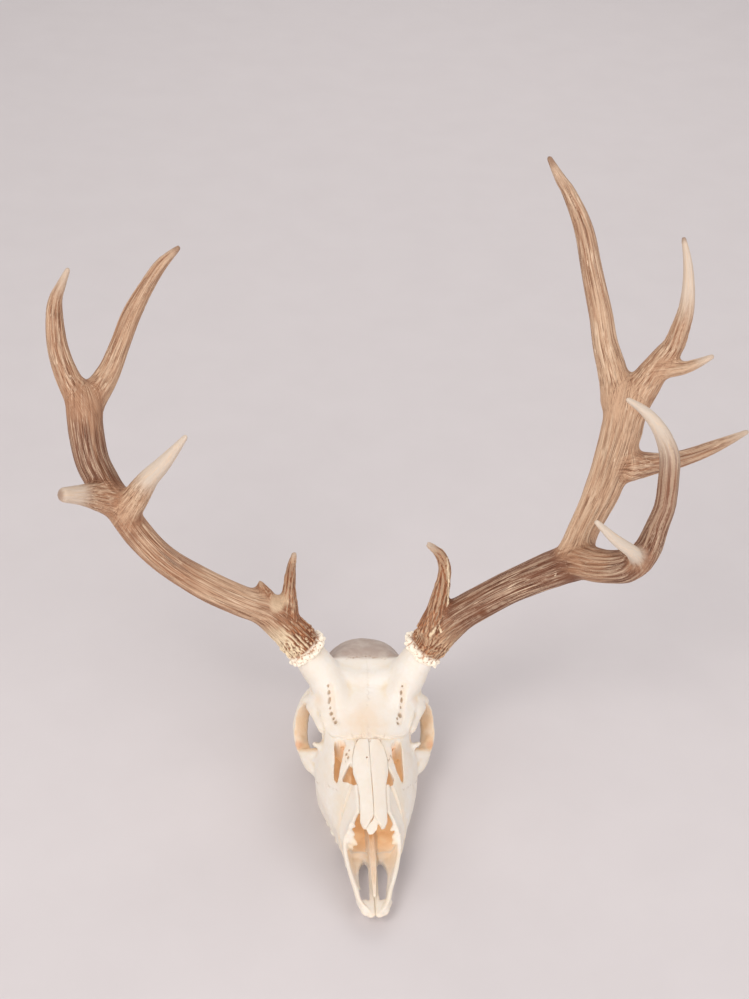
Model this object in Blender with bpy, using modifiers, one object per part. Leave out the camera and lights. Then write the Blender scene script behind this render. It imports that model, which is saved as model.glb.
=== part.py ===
"""Mule deer skull with both antlers, lying as it rests on its cheek teeth and the bony processes behind the ears.

Lengths are typed in millimetres and turned into metres at the end.
x counts towards the deer's left, y counts back from the nose tip and z counts up from the floor.
The deer's left and right give the names of the parts.
"""

import math

import bmesh
import bpy
from mathutils import Matrix, Vector

MM = 0.001

# Roundness of the rods that the branches and arches are melted from, and how near points are welded.
ROD_ROUNDNESS = 5
WELD = 0.001

# Middle of the whole thing's box, measured from the nose tip on the skull's midline.
BOX_MIDDLE_X = 24.7
BOX_MIDDLE_Y = 159.0

# Gaps between neighbouring pieces.
SUTURE_GAP = 0.4
FORK_GAP = 0.4

# Sizes of the working mesh and of the finished one.
BONE_VOXEL = 2.2
ANTLER_VOXEL = 2.0
CRANIUM_TRIANGLES = 3650
ANTLER_TRIANGLES = 1280

COLLECTION = "mule_deer_skull"


# Half sections of the skull from the roof's midline round to the base's midline, as (x, z) at a distance back.
# Each row goes roof, roof shoulder, ridge, upper wall, widest wall, lower wall, lower edge, base.
SKULL_SECTIONS = [
    (56, [(0, 57), (7, 56), (12.5, 52), (17, 44), (22, 32), (22.5, 22), (20, 14), (0, 15)]),
    (66, [(0, 61), (7, 60), (12.5, 56.5), (18.5, 47), (25, 34), (25, 22), (22, 14), (0, 16)]),
    (80, [(0, 66.5), (7, 65.5), (13, 62.5), (20, 52), (28.5, 34), (28.5, 22), (25.5, 13), (0, 17)]),
    (95, [(0, 72), (7, 71), (13.5, 68), (23, 57), (33, 36), (32, 23), (28.5, 12), (0, 17)]),
    (112, [(0, 78), (7.5, 77), (14.5, 74.5), (27, 61), (38.5, 37), (38, 24), (34, 12), (0, 18)]),
    (130, [(0, 84.5), (9, 83.5), (20, 79.5), (33, 65), (43.5, 39), (43, 25), (38.5, 12), (0, 19)]),
    (146, [(0, 89.5), (14, 88.5), (29, 83), (38, 67), (46, 43), (44, 28), (40.5, 12), (0, 20)]),
    (160, [(0, 93.5), (20, 92.5), (36, 86.5), (40, 72), (46, 46), (43, 29), (40.5, 12), (0, 21)]),
    (175, [(0, 99.2), (28, 98.2), (45, 90), (44, 74), (43, 52), (40, 34), (36, 14), (0, 28)]),
    (183, [(0, 102), (30, 101.5), (48, 90.5), (44, 75), (41, 55), (33, 42), (27, 33), (0, 38)]),
    (192, [(0, 105.5), (32, 105), (50, 91), (44, 77), (38, 56), (30, 42), (24, 36), (0, 40)]),
    (206, [(0, 110), (34, 112), (49, 98), (43, 82), (37, 62), (30, 44), (23, 34), (0, 34)]),
    (222, [(0, 113), (27, 113), (38, 101), (38.5, 83), (38, 64), (33, 46), (24, 34), (0, 30)]),
    (238, [(0, 111), (20, 109), (32, 99), (38.5, 82), (39, 64), (35, 48), (27, 35), (0, 28)]),
    (252, [(0, 106), (17, 104), (29, 94), (36, 79), (37.5, 62), (34, 47), (27, 35), (0, 28)]),
    (264, [(0, 98), (14, 95), (25, 86), (31, 73), (34, 58), (32, 47), (25, 37), (0, 29)]),
    (273, [(0, 87), (11, 84), (18, 77), (23, 68), (25, 56), (23, 47), (17, 38), (0, 33)]),
]

# The hollow of the nose, laid out the same way.
NOSE_HOLLOW_SECTIONS = [
    (44, [(0, 62), (6, 61), (11, 55), (15, 47), (18.5, 38), (19, 28), (15, 20), (0, 20)]),
    (66, [(0, 57), (6, 56), (10.5, 52.5), (15, 45), (20.5, 35), (20, 26), (16, 21), (0, 20)]),
    (80, [(0, 62.5), (6, 61.5), (10.5, 58), (15.5, 49), (23, 36), (20, 27), (16, 22), (0, 21)]),
    (95, [(0, 68), (6, 67), (10.5, 63.5), (17.5, 54), (26, 38), (21, 28), (16, 23), (0, 22)]),
    (112, [(0, 74), (7, 73), (12, 69.5), (22, 58), (30, 42), (22, 31), (16, 24), (0, 23)]),
    (130, [(0, 80.5), (8, 79.5), (17, 74.5), (28, 62), (34, 46), (23, 33), (15, 25), (0, 24)]),
    (146, [(0, 85.5), (12, 84), (24, 77), (30, 65), (30, 49), (20, 36), (13, 27), (0, 26)]),
    (160, [(0, 89), (14, 87.5), (24, 79), (23, 67), (20, 52), (15, 40), (10, 31), (0, 29)]),
    (174, [(0, 93), (12, 91), (18, 82), (17, 70), (15, 56), (12, 44), (8, 36), (0, 34)]),
    (186, [(0, 96), (6, 94), (9, 87), (9, 78), (8, 64), (6, 54), (4, 46), (0, 44)]),
]

# Side wing of a premaxilla at a distance back: outer x and height of its foot, its belly and its rim.
PREMAXILLA_STATIONS = [
    (5.0, 6.0, 12.5, 5.6, 15.0, 5.0, 17.5),
    (10.0, 10.8, 12.0, 10.2, 16.0, 9.5, 20.0),
    (16.0, 14.0, 12.0, 13.4, 17.5, 12.6, 23.0),
    (25.0, 16.0, 12.0, 15.4, 19.5, 14.6, 27.0),
    (35.0, 18.3, 12.5, 17.7, 22.0, 16.8, 30.5),
    (47.0, 21.0, 12.5, 20.6, 24.5, 19.2, 35.0),
    (57.0, 22.2, 13.0, 22.4, 28.0, 20.0, 40.0),
    (65.0, 22.6, 13.5, 24.4, 31.0, 18.4, 46.5),
    (72.0, 24.0, 14.0, 26.0, 34.0, 15.8, 56.0),
    (80.0, 25.5, 15.0, 27.4, 37.0, 15.2, 60.5),
    (90.0, 28.0, 16.5, 28.4, 41.0, 15.4, 64.5),
    (102.0, 30.0, 18.0, 28.5, 47.0, 15.2, 69.0),
]
PREMAXILLA_THICK = 4.2

# Room left between the two palatine processes for the vomer, a thin rod on the midline.
VOMER_SLOT = 3.6
VOMER_UNDERSIDE = 18.4

# The cut between premaxilla and maxilla, a plane seen from the side as a slanting line.
MAXILLA_CUT_LOW = (62.0, 12.0)
MAXILLA_CUT_HIGH = (92.0, 52.0)

# Outline of one nasal bone seen from above, as (x, y) from its rear round to its tip.
NASAL_OUTLINE = [
    (9.0, 140.5),
    (13.2, 133.0),
    (15.4, 124.0),
    (15.4, 113.0),
    (12.8, 101.0),
    (12.0, 90.0),
    (12.3, 70.0),
    (10.0, 64.0),
    (7.0, 62.0),
    (0.0, 74.0),
]

# Rim of the deer's left orbit, going round from its top backwards: x, y, z.
ORBIT_RIM = [
    (46, 183, 85),
    (53, 193, 82),
    (60, 198, 70),
    (63, 193, 55),
    (62.5, 181, 43),
    (56, 166, 40),
    (48, 156, 46),
    (42, 151, 58),
    (38, 156, 74),
    (41, 168, 83),
]
ORBIT_MIDDLE = (52.0, 175.0, 63.0)
ORBIT_STRAP_THIN = 2.6
ORBIT_STRAP_WIDE = 8.0
ORBIT_STRAP_INWARD = 6.5

# Arch of the deer's left cheek, from under the orbit back to the ear: x, y, z and radius.
CHEEK_ARCH = [
    (58, 182, 43, 5),
    (60, 196, 47, 5),
    (59, 208, 51, 4.6),
    (56, 218, 55, 4.5),
    (51, 229, 57, 4.8),
    (40, 240, 59, 7),
]

# The snout leans a little to the deer's left: how far, and where the lean starts and is complete.
SNOUT_LEAN = 2.4
LEAN_START = 150.0
LEAN_COMPLETE = 75.0

# Cheek teeth on one side: name, y of the front, y of the rear, x of the inner side, x of the outer side.
TEETH = [
    ("premolar_2", 98.0, 107.6, 20.5, 29.0),
    ("premolar_3", 108.0, 118.6, 22.5, 32.5),
    ("premolar_4", 119.0, 129.6, 24.0, 35.5),
    ("molar_1", 130.0, 143.6, 25.5, 38.0),
    ("molar_2", 144.0, 158.6, 26.5, 40.0),
    ("molar_3", 159.0, 173.6, 26.5, 40.0),
]
TOOTH_TOP = 11.7
GUM_LINE = 12.0

# Antlers: each row is x, y, z and the radius of the branch there.
RIGHT_BEAM = [
    (-51, 214, 121, 15.6),
    (-61, 216, 135, 16.4),
    (-74, 214, 154, 16),
    (-92, 211, 175, 14.6),
    (-113, 204, 190, 13.3),
    (-144, 200, 211, 13),
    (-176, 201, 236, 12),
    (-199, 204, 263, 12.5),
    (-215, 213, 286, 13.5),
    (-226, 220, 302, 14),
    (-235, 229, 317, 14.5),
    (-240, 240, 338, 15),
    (-242, 251, 362, 16),
]
RIGHT_BROW_TINE = [
    (-73, 214, 158, 13),
    (-71, 216, 179, 8.5),
    (-70, 218, 196, 5.5),
    (-69, 219, 212, 4.5),
    (-66, 222, 229, 2.2),
]
RIGHT_BROW_SPUR = [
    (-81, 213, 168, 12),
    (-89, 214, 185, 8),
    (-95, 217, 201, 2.5),
]
RIGHT_OUTER_TINE = [
    (-241, 250, 358, 15),
    (-254, 258, 379, 10.5),
    (-262, 266, 403, 8.5),
    (-264, 274, 429, 7),
    (-262, 275, 444, 5.5),
    (-257, 275, 456, 4),
    (-250, 274, 472, 2.2),
]
RIGHT_INNER_TINE = [
    (-239, 252, 358, 14),
    (-223, 270, 376, 10),
    (-213, 282, 397, 8.5),
    (-203, 289, 422, 7.8),
    (-189, 293, 448, 6.2),
    (-177, 294, 467, 5),
    (-162, 291, 484, 2.2),
]
RIGHT_FRONT_TINE = [
    (-209, 209, 278, 14),
    (-195, 202, 305, 10.5),
    (-186, 196, 323, 8.2),
    (-175, 188, 341, 6.5),
    (-164, 181, 360, 4.5),
    (-154, 175, 378, 2.2),
]
RIGHT_REAR_STUB = [
    (-217, 212, 289, 15),
    (-232, 201, 301, 11.5),
    (-244, 188, 311, 8),
    (-257, 178, 318, 6),
]
LEFT_BEAM = [
    (47, 213, 121, 15.6),
    (58, 213, 139, 16.8),
    (69, 210, 158, 16.2),
    (81, 206, 175, 15),
    (94, 202, 189, 14.4),
    (119, 197, 211, 14.2),
    (147, 189, 234, 15.6),
    (173, 181, 254, 17.8),
]
LEFT_BROW_TINE = [
    (55, 209, 150, 13.5),
    (59, 209, 172, 10),
    (61, 210, 186, 8.5),
    (63, 211, 202, 7),
    (64, 213, 218, 5.8),
    (60, 213, 232, 4.8),
    (53, 212, 241, 3.5),
    (46, 211, 247, 2.2),
]
LEFT_FRONT_BRANCH = [
    (169, 184, 252, 17),
    (189, 154, 267, 14),
    (205, 132, 286, 13.5),
    (213, 124, 307, 11.5),
    (219, 127, 329, 9.2),
    (224, 133, 344, 8.5),
    (226, 143, 362, 8.5),
    (226, 152, 379, 8.2),
    (218, 158, 397, 6.5),
    (205, 162, 412, 4.5),
    (187, 162, 425, 2.2),
]
LEFT_FRONT_POINT = [
    (210, 129, 290, 10),
    (198, 107, 316, 6),
    (179, 98, 336, 4.5),
    (160, 92, 358, 2.2),
]
LEFT_REAR_BRANCH = [
    (169, 186, 256, 17),
    (176, 193, 278, 14.5),
    (182, 197, 293, 15),
    (188, 203, 305, 16.5),
    (194, 210, 320, 17.5),
    (199, 218, 335, 18.5),
    (203, 226, 348, 19),
    (206, 234, 362, 20),
    (208, 240, 374, 21),
]
LEFT_TALL_TINE = [
    (202, 240, 371, 17),
    (197, 251, 390, 13),
    (189, 265, 413, 10.8),
    (184, 279, 437, 10),
    (175, 292, 469, 9),
    (166, 302, 501, 8),
    (153, 308, 528, 6),
    (143, 310, 542, 4.5),
    (132, 311, 560, 2.2),
]
LEFT_SECOND_TINE = [
    (211, 239, 374, 17),
    (224, 242, 396, 13),
    (233, 243, 413, 10.5),
    (240, 243, 426, 8.8),
    (244, 245, 442, 7.5),
    (247, 248, 458, 6.5),
    (247, 253, 476, 5.2),
    (245, 260, 494, 4),
    (240, 267, 513, 2.2),
]
LEFT_KICKER = [
    (234, 237, 407, 9),
    (253, 228, 416, 5),
    (270, 225, 428, 2.2),
]
LEFT_OUTWARD_TINE = [
    (206, 212, 328, 15),
    (234, 220, 326, 9.2),
    (259, 229, 325, 7),
    (290, 242, 329, 5.5),
    (321, 255, 336.5, 2.2),
]

# Loose sleeves that part the left antler's two larger branches from the rest, as x, y, z and radius.
LEFT_SECOND_SLEEVE = [
    (226, 242, 399, 19),
    (234, 242, 413, 21),
    (246, 237, 424, 34),
    (248, 243, 446, 36),
    (247, 253, 476, 22),
    (242, 265, 508, 16),
    (239, 270, 524, 14),
]
LEFT_REAR_SLEEVE = [
    (179, 195, 284, 29),
    (192, 209, 318, 36),
    (203, 228, 352, 42),
    (209, 240, 385, 50),
    (211, 247, 430, 52),
]

# How flat the wide part of the left rear branch is, and the direction it is flattened along.
PALM_FLATNESS = 0.68
PALM_SIDE = (0.35, -0.87, 0.35)

# Bony stalks the antlers stand on, as x, y, z and radius.
PEDICLES = [
    [(22, 190, 84, 17), (32, 200, 100, 17), (42, 208, 114, 15.8), (52, 213, 130, 15)],
    [(-22, 190, 84, 17), (-33, 200, 100, 17), (-45, 208, 114, 15.8), (-56, 214, 130, 15)],
]

# Burr at the foot of an antler.
BURR_RADIUS = 15.2
BURR_BEAD = 4.0
RIGHT_BURR = (-54.0, 214.5, 127.0)
LEFT_BURR = (50.0, 213.5, 127.0)
BURR_AXIS = (0.58, 0.06, 0.81)


# Palette, one material for each kind of surface.
FINISHES = {
    "bone": ((0.86, 0.81, 0.73), 0.6),
    "nasal_bone": ((0.88, 0.84, 0.77), 0.58),
    "premaxilla_bone": ((0.87, 0.8, 0.69), 0.58),
    "tooth_enamel": ((0.9, 0.87, 0.8), 0.35),
    "antler": ((0.42, 0.27, 0.16), 0.62),
}


def clear_scene():
    for thing in list(bpy.data.objects):
        bpy.data.objects.remove(thing, do_unlink=True)


def collection(name):
    found = bpy.data.collections.get(name)
    if found is None:
        found = bpy.data.collections.new(name)
        bpy.context.scene.collection.children.link(found)
    return found


def material(name):
    colour, roughness = FINISHES[name]
    made = bpy.data.materials.get(name)
    if made is None:
        made = bpy.data.materials.new(name)
        made.use_nodes = True
        shader = made.node_tree.nodes["Principled BSDF"]
        shader.inputs["Base Color"].default_value = (*colour, 1.0)
        shader.inputs["Roughness"].default_value = roughness
    return made


def between(before, start, end, after, share):
    """Point on a smooth line through four rows of numbers, at a share of the way from start to end."""
    out = []
    for a, b, c, d in zip(before, start, end, after):
        slope_start = (c - a) * 0.5
        slope_end = (d - b) * 0.5
        square = share * share
        cube = square * share
        out.append(
            b * (2 * cube - 3 * square + 1)
            + slope_start * (cube - 2 * square + share)
            + c * (3 * square - 2 * cube)
            + slope_end * (cube - square)
        )
    return tuple(out)


def smooth_rows(rows, steps, closed=False):
    """The rows with extra ones put between them along a smooth line."""
    count = len(rows)
    out = []
    for i in range(count if closed else count - 1):
        before = rows[(i - 1) % count] if closed else rows[max(i - 1, 0)]
        end = rows[(i + 1) % count] if closed else rows[i + 1]
        after = rows[(i + 2) % count] if closed else rows[min(i + 2, count - 1)]
        for step in range(steps):
            out.append(between(before, rows[i], end, after, step / steps))
    if not closed:
        out.append(tuple(float(value) for value in rows[-1]))
    return out


def skin_rings(mesh, rings):
    """Closed skin over a row of rings, each a list of points."""
    loops = [[mesh.verts.new(point) for point in ring] for ring in rings]
    count = len(loops[0])
    for first, second in zip(loops, loops[1:]):
        for i in range(count):
            j = (i + 1) % count
            mesh.faces.new((first[i], first[j], second[j], second[i]))
    mesh.faces.new(list(reversed(loops[0])))
    mesh.faces.new(loops[-1])


def half_section_ring(half, back, steps):
    """A whole ring in the plane y = back, from a half section running from the top to the bottom."""
    left_half = [(-x, z) for x, z in reversed(half[1:-1])]
    ring = smooth_rows(list(half) + left_half, steps, closed=True)
    return [Vector((x, back, z)) for x, z in ring]


def section_loft(mesh, sections, steps):
    """Smooth body through half sections placed along y."""
    rows = []
    for back, half in sections:
        row = [back]
        for x, z in half:
            row.extend((x, z))
        rows.append(row)
    rings = []
    for row in smooth_rows(rows, steps):
        half = [(row[i], row[i + 1]) for i in range(1, len(row), 2)]
        rings.append(half_section_ring(half, row[0], steps))
    skin_rings(mesh, rings)


def flatten(verts, centre_line, side, flatness):
    """Squeezes vertices towards a centre line along one direction."""
    side = Vector(side).normalized()
    for vert in verts:
        nearest = min(centre_line, key=lambda point: (vert.co - point).length_squared)
        reach = (vert.co - nearest).dot(side)
        vert.co -= side * (reach * (1.0 - flatness))


def tube(mesh, rows, steps=3, flat_side=None, flatness=1.0):
    """Tapering rod along rows of x, y, z and radius, flattened towards a side if one is given."""
    fine = smooth_rows(rows, steps)
    curve = bpy.data.curves.new("rod", "CURVE")
    curve.dimensions = "3D"
    curve.bevel_depth = 1.0
    curve.bevel_resolution = ROD_ROUNDNESS
    curve.use_fill_caps = True
    spline = curve.splines.new("POLY")
    spline.points.add(len(fine) - 1)
    for point, row in zip(spline.points, fine):
        point.co = (*row[:3], 1.0)
        point.radius = row[3]
    rod = bpy.data.objects.new("rod", curve)
    bpy.context.scene.collection.objects.link(rod)
    graph = bpy.context.evaluated_depsgraph_get()
    skin = bpy.data.meshes.new_from_object(rod.evaluated_get(graph))
    bpy.data.objects.remove(rod, do_unlink=True)
    bpy.data.curves.remove(curve)
    before = len(mesh.verts)
    mesh.from_mesh(skin)
    bpy.data.meshes.remove(skin)
    mesh.verts.ensure_lookup_table()
    added = mesh.verts[before:]
    if flat_side is not None:
        flatten(added, [Vector(row[:3]) for row in fine], flat_side, flatness)
    bmesh.ops.remove_doubles(mesh, verts=added, dist=WELD)


def ball(mesh, middle, radii, turn=(0.0, 0.0, 0.0), segments=20, rings=12):
    """Ellipsoid with its own turn in degrees about x, y and z."""
    place = Matrix.Translation(Vector(middle))
    for axis, degrees in zip("XYZ", turn):
        place = place @ Matrix.Rotation(math.radians(degrees), 4, axis)
    place = place @ Matrix.Diagonal((*radii, 1.0))
    bmesh.ops.create_uvsphere(mesh, u_segments=segments, v_segments=rings, radius=1.0, matrix=place)


def block(mesh, middle, size, turn=(0.0, 0.0, 0.0)):
    """Box with its own turn in degrees about x, y and z."""
    place = Matrix.Translation(Vector(middle))
    for axis, degrees in zip("XYZ", turn):
        place = place @ Matrix.Rotation(math.radians(degrees), 4, axis)
    place = place @ Matrix.Diagonal((*size, 1.0))
    bmesh.ops.create_cube(mesh, size=1.0, matrix=place)


def prism(mesh, outline, low, high):
    """Upright prism over an outline of (x, y) points."""
    rings = [[Vector((x, y, z)) for x, y in outline] for z in (low, high)]
    skin_rings(mesh, rings)


def bead_ring(mesh, middle, axis, radius, bead):
    """Ring of round section about an axis."""
    middle = Vector(middle)
    axis = Vector(axis).normalized()
    outward = axis.orthogonal().normalized()
    turn = Matrix((outward, axis, outward.cross(axis))).transposed().to_4x4()
    place = Matrix.Translation(middle + outward * radius) @ turn
    section = bmesh.ops.create_circle(mesh, segments=10, radius=bead, matrix=place)["verts"]
    edges = {edge for vert in section for edge in vert.link_edges}
    bmesh.ops.spin(mesh, geom=list(section) + list(edges), cent=middle, axis=axis,
                   angle=math.tau, steps=22, use_merge=True)


def both_sides(rows):
    """The rows and their mirror image across the midline."""
    return [list(rows), [(-row[0], *row[1:]) for row in rows]]


def object_from(mesh, name):
    """Object holding a finished bmesh."""
    bmesh.ops.recalc_face_normals(mesh, faces=mesh.faces)
    data = bpy.data.meshes.new(name)
    mesh.to_mesh(data)
    mesh.free()
    thing = bpy.data.objects.new(name, data)
    bpy.context.scene.collection.objects.link(thing)
    return thing


def bake(thing):
    """Replaces an object's mesh by what its modifiers make of it."""
    graph = bpy.context.evaluated_depsgraph_get()
    baked = bpy.data.meshes.new_from_object(thing.evaluated_get(graph))
    old = thing.data
    thing.modifiers.clear()
    thing.data = baked
    bpy.data.meshes.remove(old)


def melt(thing, voxel, rounds, factor=0.5):
    """Melts overlapping forms into one skin and smooths it."""
    remesh = thing.modifiers.new("melt", "REMESH")
    remesh.mode = "VOXEL"
    remesh.voxel_size = voxel
    if rounds:
        smooth = thing.modifiers.new("smooth", "SMOOTH")
        smooth.factor = factor
        smooth.iterations = rounds
    bake(thing)


def carve(thing, cutter, operation="DIFFERENCE"):
    """Boolean of a thing with a cutter."""
    modifier = thing.modifiers.new("carve", "BOOLEAN")
    modifier.operation = operation
    modifier.solver = "EXACT"
    modifier.object = cutter
    bake(thing)
    data = cutter.data
    bpy.data.objects.remove(cutter, do_unlink=True)
    bpy.data.meshes.remove(data)


def reduce_to(thing, triangles):
    """Fewer triangles, and only triangles."""
    mesh = bmesh.new()
    mesh.from_mesh(thing.data)
    bmesh.ops.triangulate(mesh, faces=mesh.faces)
    mesh.to_mesh(thing.data)
    mesh.free()
    count = len(thing.data.polygons)
    if count > triangles:
        modifier = thing.modifiers.new("reduce", "DECIMATE")
        modifier.ratio = triangles / count
        bake(thing)


def copy_of(thing, name):
    """Separate copy of an object and its mesh."""
    twin = bpy.data.objects.new(name, thing.data.copy())
    bpy.context.scene.collection.objects.link(twin)
    return twin


def largest_piece(thing):
    """Keeps only the piece of a mesh with the most faces, dropping crumbs left by a cut."""
    mesh = bmesh.new()
    mesh.from_mesh(thing.data)
    mesh.verts.ensure_lookup_table()
    seen = set()
    groups = []
    for start in mesh.verts:
        if start.index in seen:
            continue
        group = []
        waiting = [start]
        seen.add(start.index)
        while waiting:
            vert = waiting.pop()
            group.append(vert)
            for edge in vert.link_edges:
                other = edge.other_vert(vert)
                if other.index not in seen:
                    seen.add(other.index)
                    waiting.append(other)
        groups.append(group)
    groups.sort(key=len)
    for group in groups[:-1]:
        bmesh.ops.delete(mesh, geom=group, context="VERTS")
    mesh.to_mesh(thing.data)
    mesh.free()


def orbit_rim(mesh, sign):
    """Bony strap round an eye, its broad side facing the eyeball."""
    middle = Vector((sign * ORBIT_MIDDLE[0], ORBIT_MIDDLE[1], ORBIT_MIDDLE[2]))
    inward = Vector((-sign * 0.93, 0.3, -0.1)).normalized()
    rows = smooth_rows([(sign * x, y, z) for x, y, z in ORBIT_RIM], 3, closed=True)
    sides = 10
    loops = []
    for row in rows:
        spot = Vector(row)
        outward = spot - middle
        outward = (outward - inward * outward.dot(inward)).normalized()
        centre = spot + inward * ORBIT_STRAP_INWARD
        loop = []
        for k in range(sides):
            angle = 2.0 * math.pi * k / sides
            reach = outward * (ORBIT_STRAP_THIN * math.cos(angle)) + inward * (ORBIT_STRAP_WIDE * math.sin(angle))
            loop.append(mesh.verts.new(centre + reach))
        loops.append(loop)
    for i, first in enumerate(loops):
        second = loops[(i + 1) % len(loops)]
        for k in range(sides):
            j = (k + 1) % sides
            mesh.faces.new((first[k], second[k], second[j], first[j]))


def skull_shell():
    """Long body of the skull with its pedicles, before anything is hollowed."""
    mesh = bmesh.new()
    section_loft(mesh, SKULL_SECTIONS, 2)
    for rows in PEDICLES:
        tube(mesh, rows)
    for ramp in both_sides([(21, 170, 86, 8), (28, 186, 95, 14), (35, 198, 103, 16), (43, 207, 114, 15)]):
        tube(mesh, ramp)
    tube(mesh, [(-46, 207, 108, 13), (-30, 203, 101, 14), (0, 202, 97, 14), (30, 203, 101, 14), (46, 207, 108, 13)])
    return object_from(mesh, "skull_shell")


def skull_hollows():
    """Everything taken out of the solid skull at the first carving."""
    mesh = bmesh.new()
    section_loft(mesh, NOSE_HOLLOW_SECTIONS, 2)
    ball(mesh, (0, 236, 72), (31, 37, 30))
    tube(mesh, [(0, 292, 44, 11.5), (0, 272, 46, 11.5), (0, 255, 55, 13)])
    tube(mesh, [(0, 152, 39, 10), (0, 168, 35, 12), (0, 186, 32, 12), (0, 204, 22, 10), (0, 216, 8, 10)])
    for sign in (-1, 1):
        ball(mesh, (sign * 60, 175, 63), (36, 21.5, 21.5), (0, 0, -sign * 14))
        ball(mesh, (sign * 59, 212, 66), (21, 20, 24))
        ball(mesh, (sign * 45, 196, 30), (19, 30, 22))
    hollows = object_from(mesh, "skull_hollows")
    melt(hollows, BONE_VOXEL, 2)
    return hollows


def skull_additions(mesh):
    """Rims, arches, condyles and thin plates set onto the hollowed skull."""
    for sign in (-1, 1):
        orbit_rim(mesh, sign)
        ball(mesh, (sign * 51, 163, 39), (6, 18, 6), (0, 0, -sign * 20))
        tube(mesh, [(sign * x, y, z, radius) for x, y, z, radius in CHEEK_ARCH])
        tube(mesh, [(sign * 42, 186, 90, 7), (sign * 50, 193, 86, 5), (sign * 55, 197, 78, 4.4)])
        ball(mesh, (sign * 13, 274, 39), (9.5, 10, 12.5), (0, 0, sign * 20))
        tube(mesh, [(sign * 33, 252, 46, 9), (sign * 31, 258, 30, 7), (sign * 29, 261, 14, 5.2), (sign * 27, 261, -3, 4)])
        ball(mesh, (sign * 21, 236, 29), (8, 12, 9))
        tube(mesh, [(sign * 15, 160, 30, 4), (sign * 15, 178, 36, 3.4), (sign * 14, 200, 38, 4)])
        tube(mesh, [(sign * 15, 166, 24, 3.4), (sign * 14, 178, 23, 3), (sign * 13, 190, 27, 3), (sign * 13, 200, 34, 3.6)])
        tube(mesh, [(sign * 12, 176, 40, 6), (sign * 12, 192, 46, 6), (sign * 10, 208, 46, 8)])
    tube(mesh, [(0, 196, 46, 9), (0, 214, 39, 8), (0, 240, 31, 9), (0, 266, 32, 11)])
    tube(mesh, [(-26, 258, 76, 3.5), (-17, 267, 84, 3.6), (0, 271, 88, 4), (17, 267, 84, 3.6), (26, 258, 76, 3.5)])
    tube(mesh, [(0, 20, 21.8, 3), (0, 45, 22, 3.2), (0, 75, 23.4, 3.4), (0, 112, 24.5, 4)])


def cheek_openings():
    """Openings beside the nasal bones, the teeth's flat seat and the vault of the palate."""
    mesh = bmesh.new()
    for sign in (-1, 1):
        block(mesh, (sign * 27.4, 129, 78), (5.8, 36, 34), (18, 0, sign * 3))
        block(mesh, (sign * 18.0, 110, 73), (7.0, 12.5, 24), (18, 0, -sign * 24))
    block(mesh, (0, 131, GUM_LINE - 20), (110, 108, 40))
    ball(mesh, (0, 134, 11), (20.5, 58, 8.5))
    openings = object_from(mesh, "cheek_openings")
    melt(openings, BONE_VOXEL * 0.7, 0)
    return openings


def floor_block(top, name):
    """Big block filling everything under a height."""
    mesh = bmesh.new()
    block(mesh, (0, 150, top - 100), (900, 900, 200))
    return object_from(mesh, name)


def slanted_wedge(shift, name, keep_vomer=False):
    """Everything in front of the slanting joint between maxilla and premaxilla, moved back by a shift."""
    low_y, low_z = MAXILLA_CUT_LOW
    high_y, high_z = MAXILLA_CUT_HIGH
    slope = (high_y - low_y) / (high_z - low_z)
    bottom, top = -60.0, 120.0
    near = low_y + shift
    profile = [
        (-60.0, bottom),
        (near + slope * (bottom - low_z), bottom),
        (near + slope * (top - low_z), top),
        (-60.0, top),
    ]
    mesh = bmesh.new()
    if not keep_vomer:
        skin_rings(mesh, [[Vector((x, y, z)) for y, z in profile] for x in (-90.0, 90.0)])
        return object_from(mesh, name)
    for near_x, far_x in ((VOMER_SLOT, 90.0), (-90.0, -VOMER_SLOT)):
        skin_rings(mesh, [[Vector((x, y, z)) for y, z in profile] for x in (near_x, far_x)])
    return object_from(mesh, name)


def vomer_clearance(half_width, low, high, rear, name):
    """Long block on the midline in front of the skull's palate."""
    mesh = bmesh.new()
    block(mesh, (0, rear - 75, (low + high) * 0.5), (half_width * 2, 150, high - low))
    return object_from(mesh, name)


def nasal_prism(sign, inset, name):
    """Upright prism over one nasal bone's outline, drawn in by an inset."""
    outline = []
    middle_y = 104.0
    for x, y in NASAL_OUTLINE:
        edge_x = max(x - inset, SUTURE_GAP * 0.5) if x > 0 else SUTURE_GAP * 0.5
        edge_y = y - inset if y > middle_y else y
        outline.append((sign * edge_x, edge_y))
    outline.append((sign * SUTURE_GAP * 0.5, 140.5 - inset))
    if sign > 0:
        outline.reverse()
    mesh = bmesh.new()
    low_rise, high_rise = 45.0, 125.0
    prism(mesh, outline, low_rise, high_rise)
    return object_from(mesh, name)


def nasal_clearance(name):
    """Prism over both nasal bones together, open to the front."""
    right_edge = [(x, y) for x, y in NASAL_OUTLINE if x > 0]
    right_edge[-1] = (9.0, 40.0)
    outline = right_edge + [(-x, y) for x, y in reversed(right_edge)]
    mesh = bmesh.new()
    prism(mesh, outline, 45.0, 125.0)
    return object_from(mesh, name)


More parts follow.
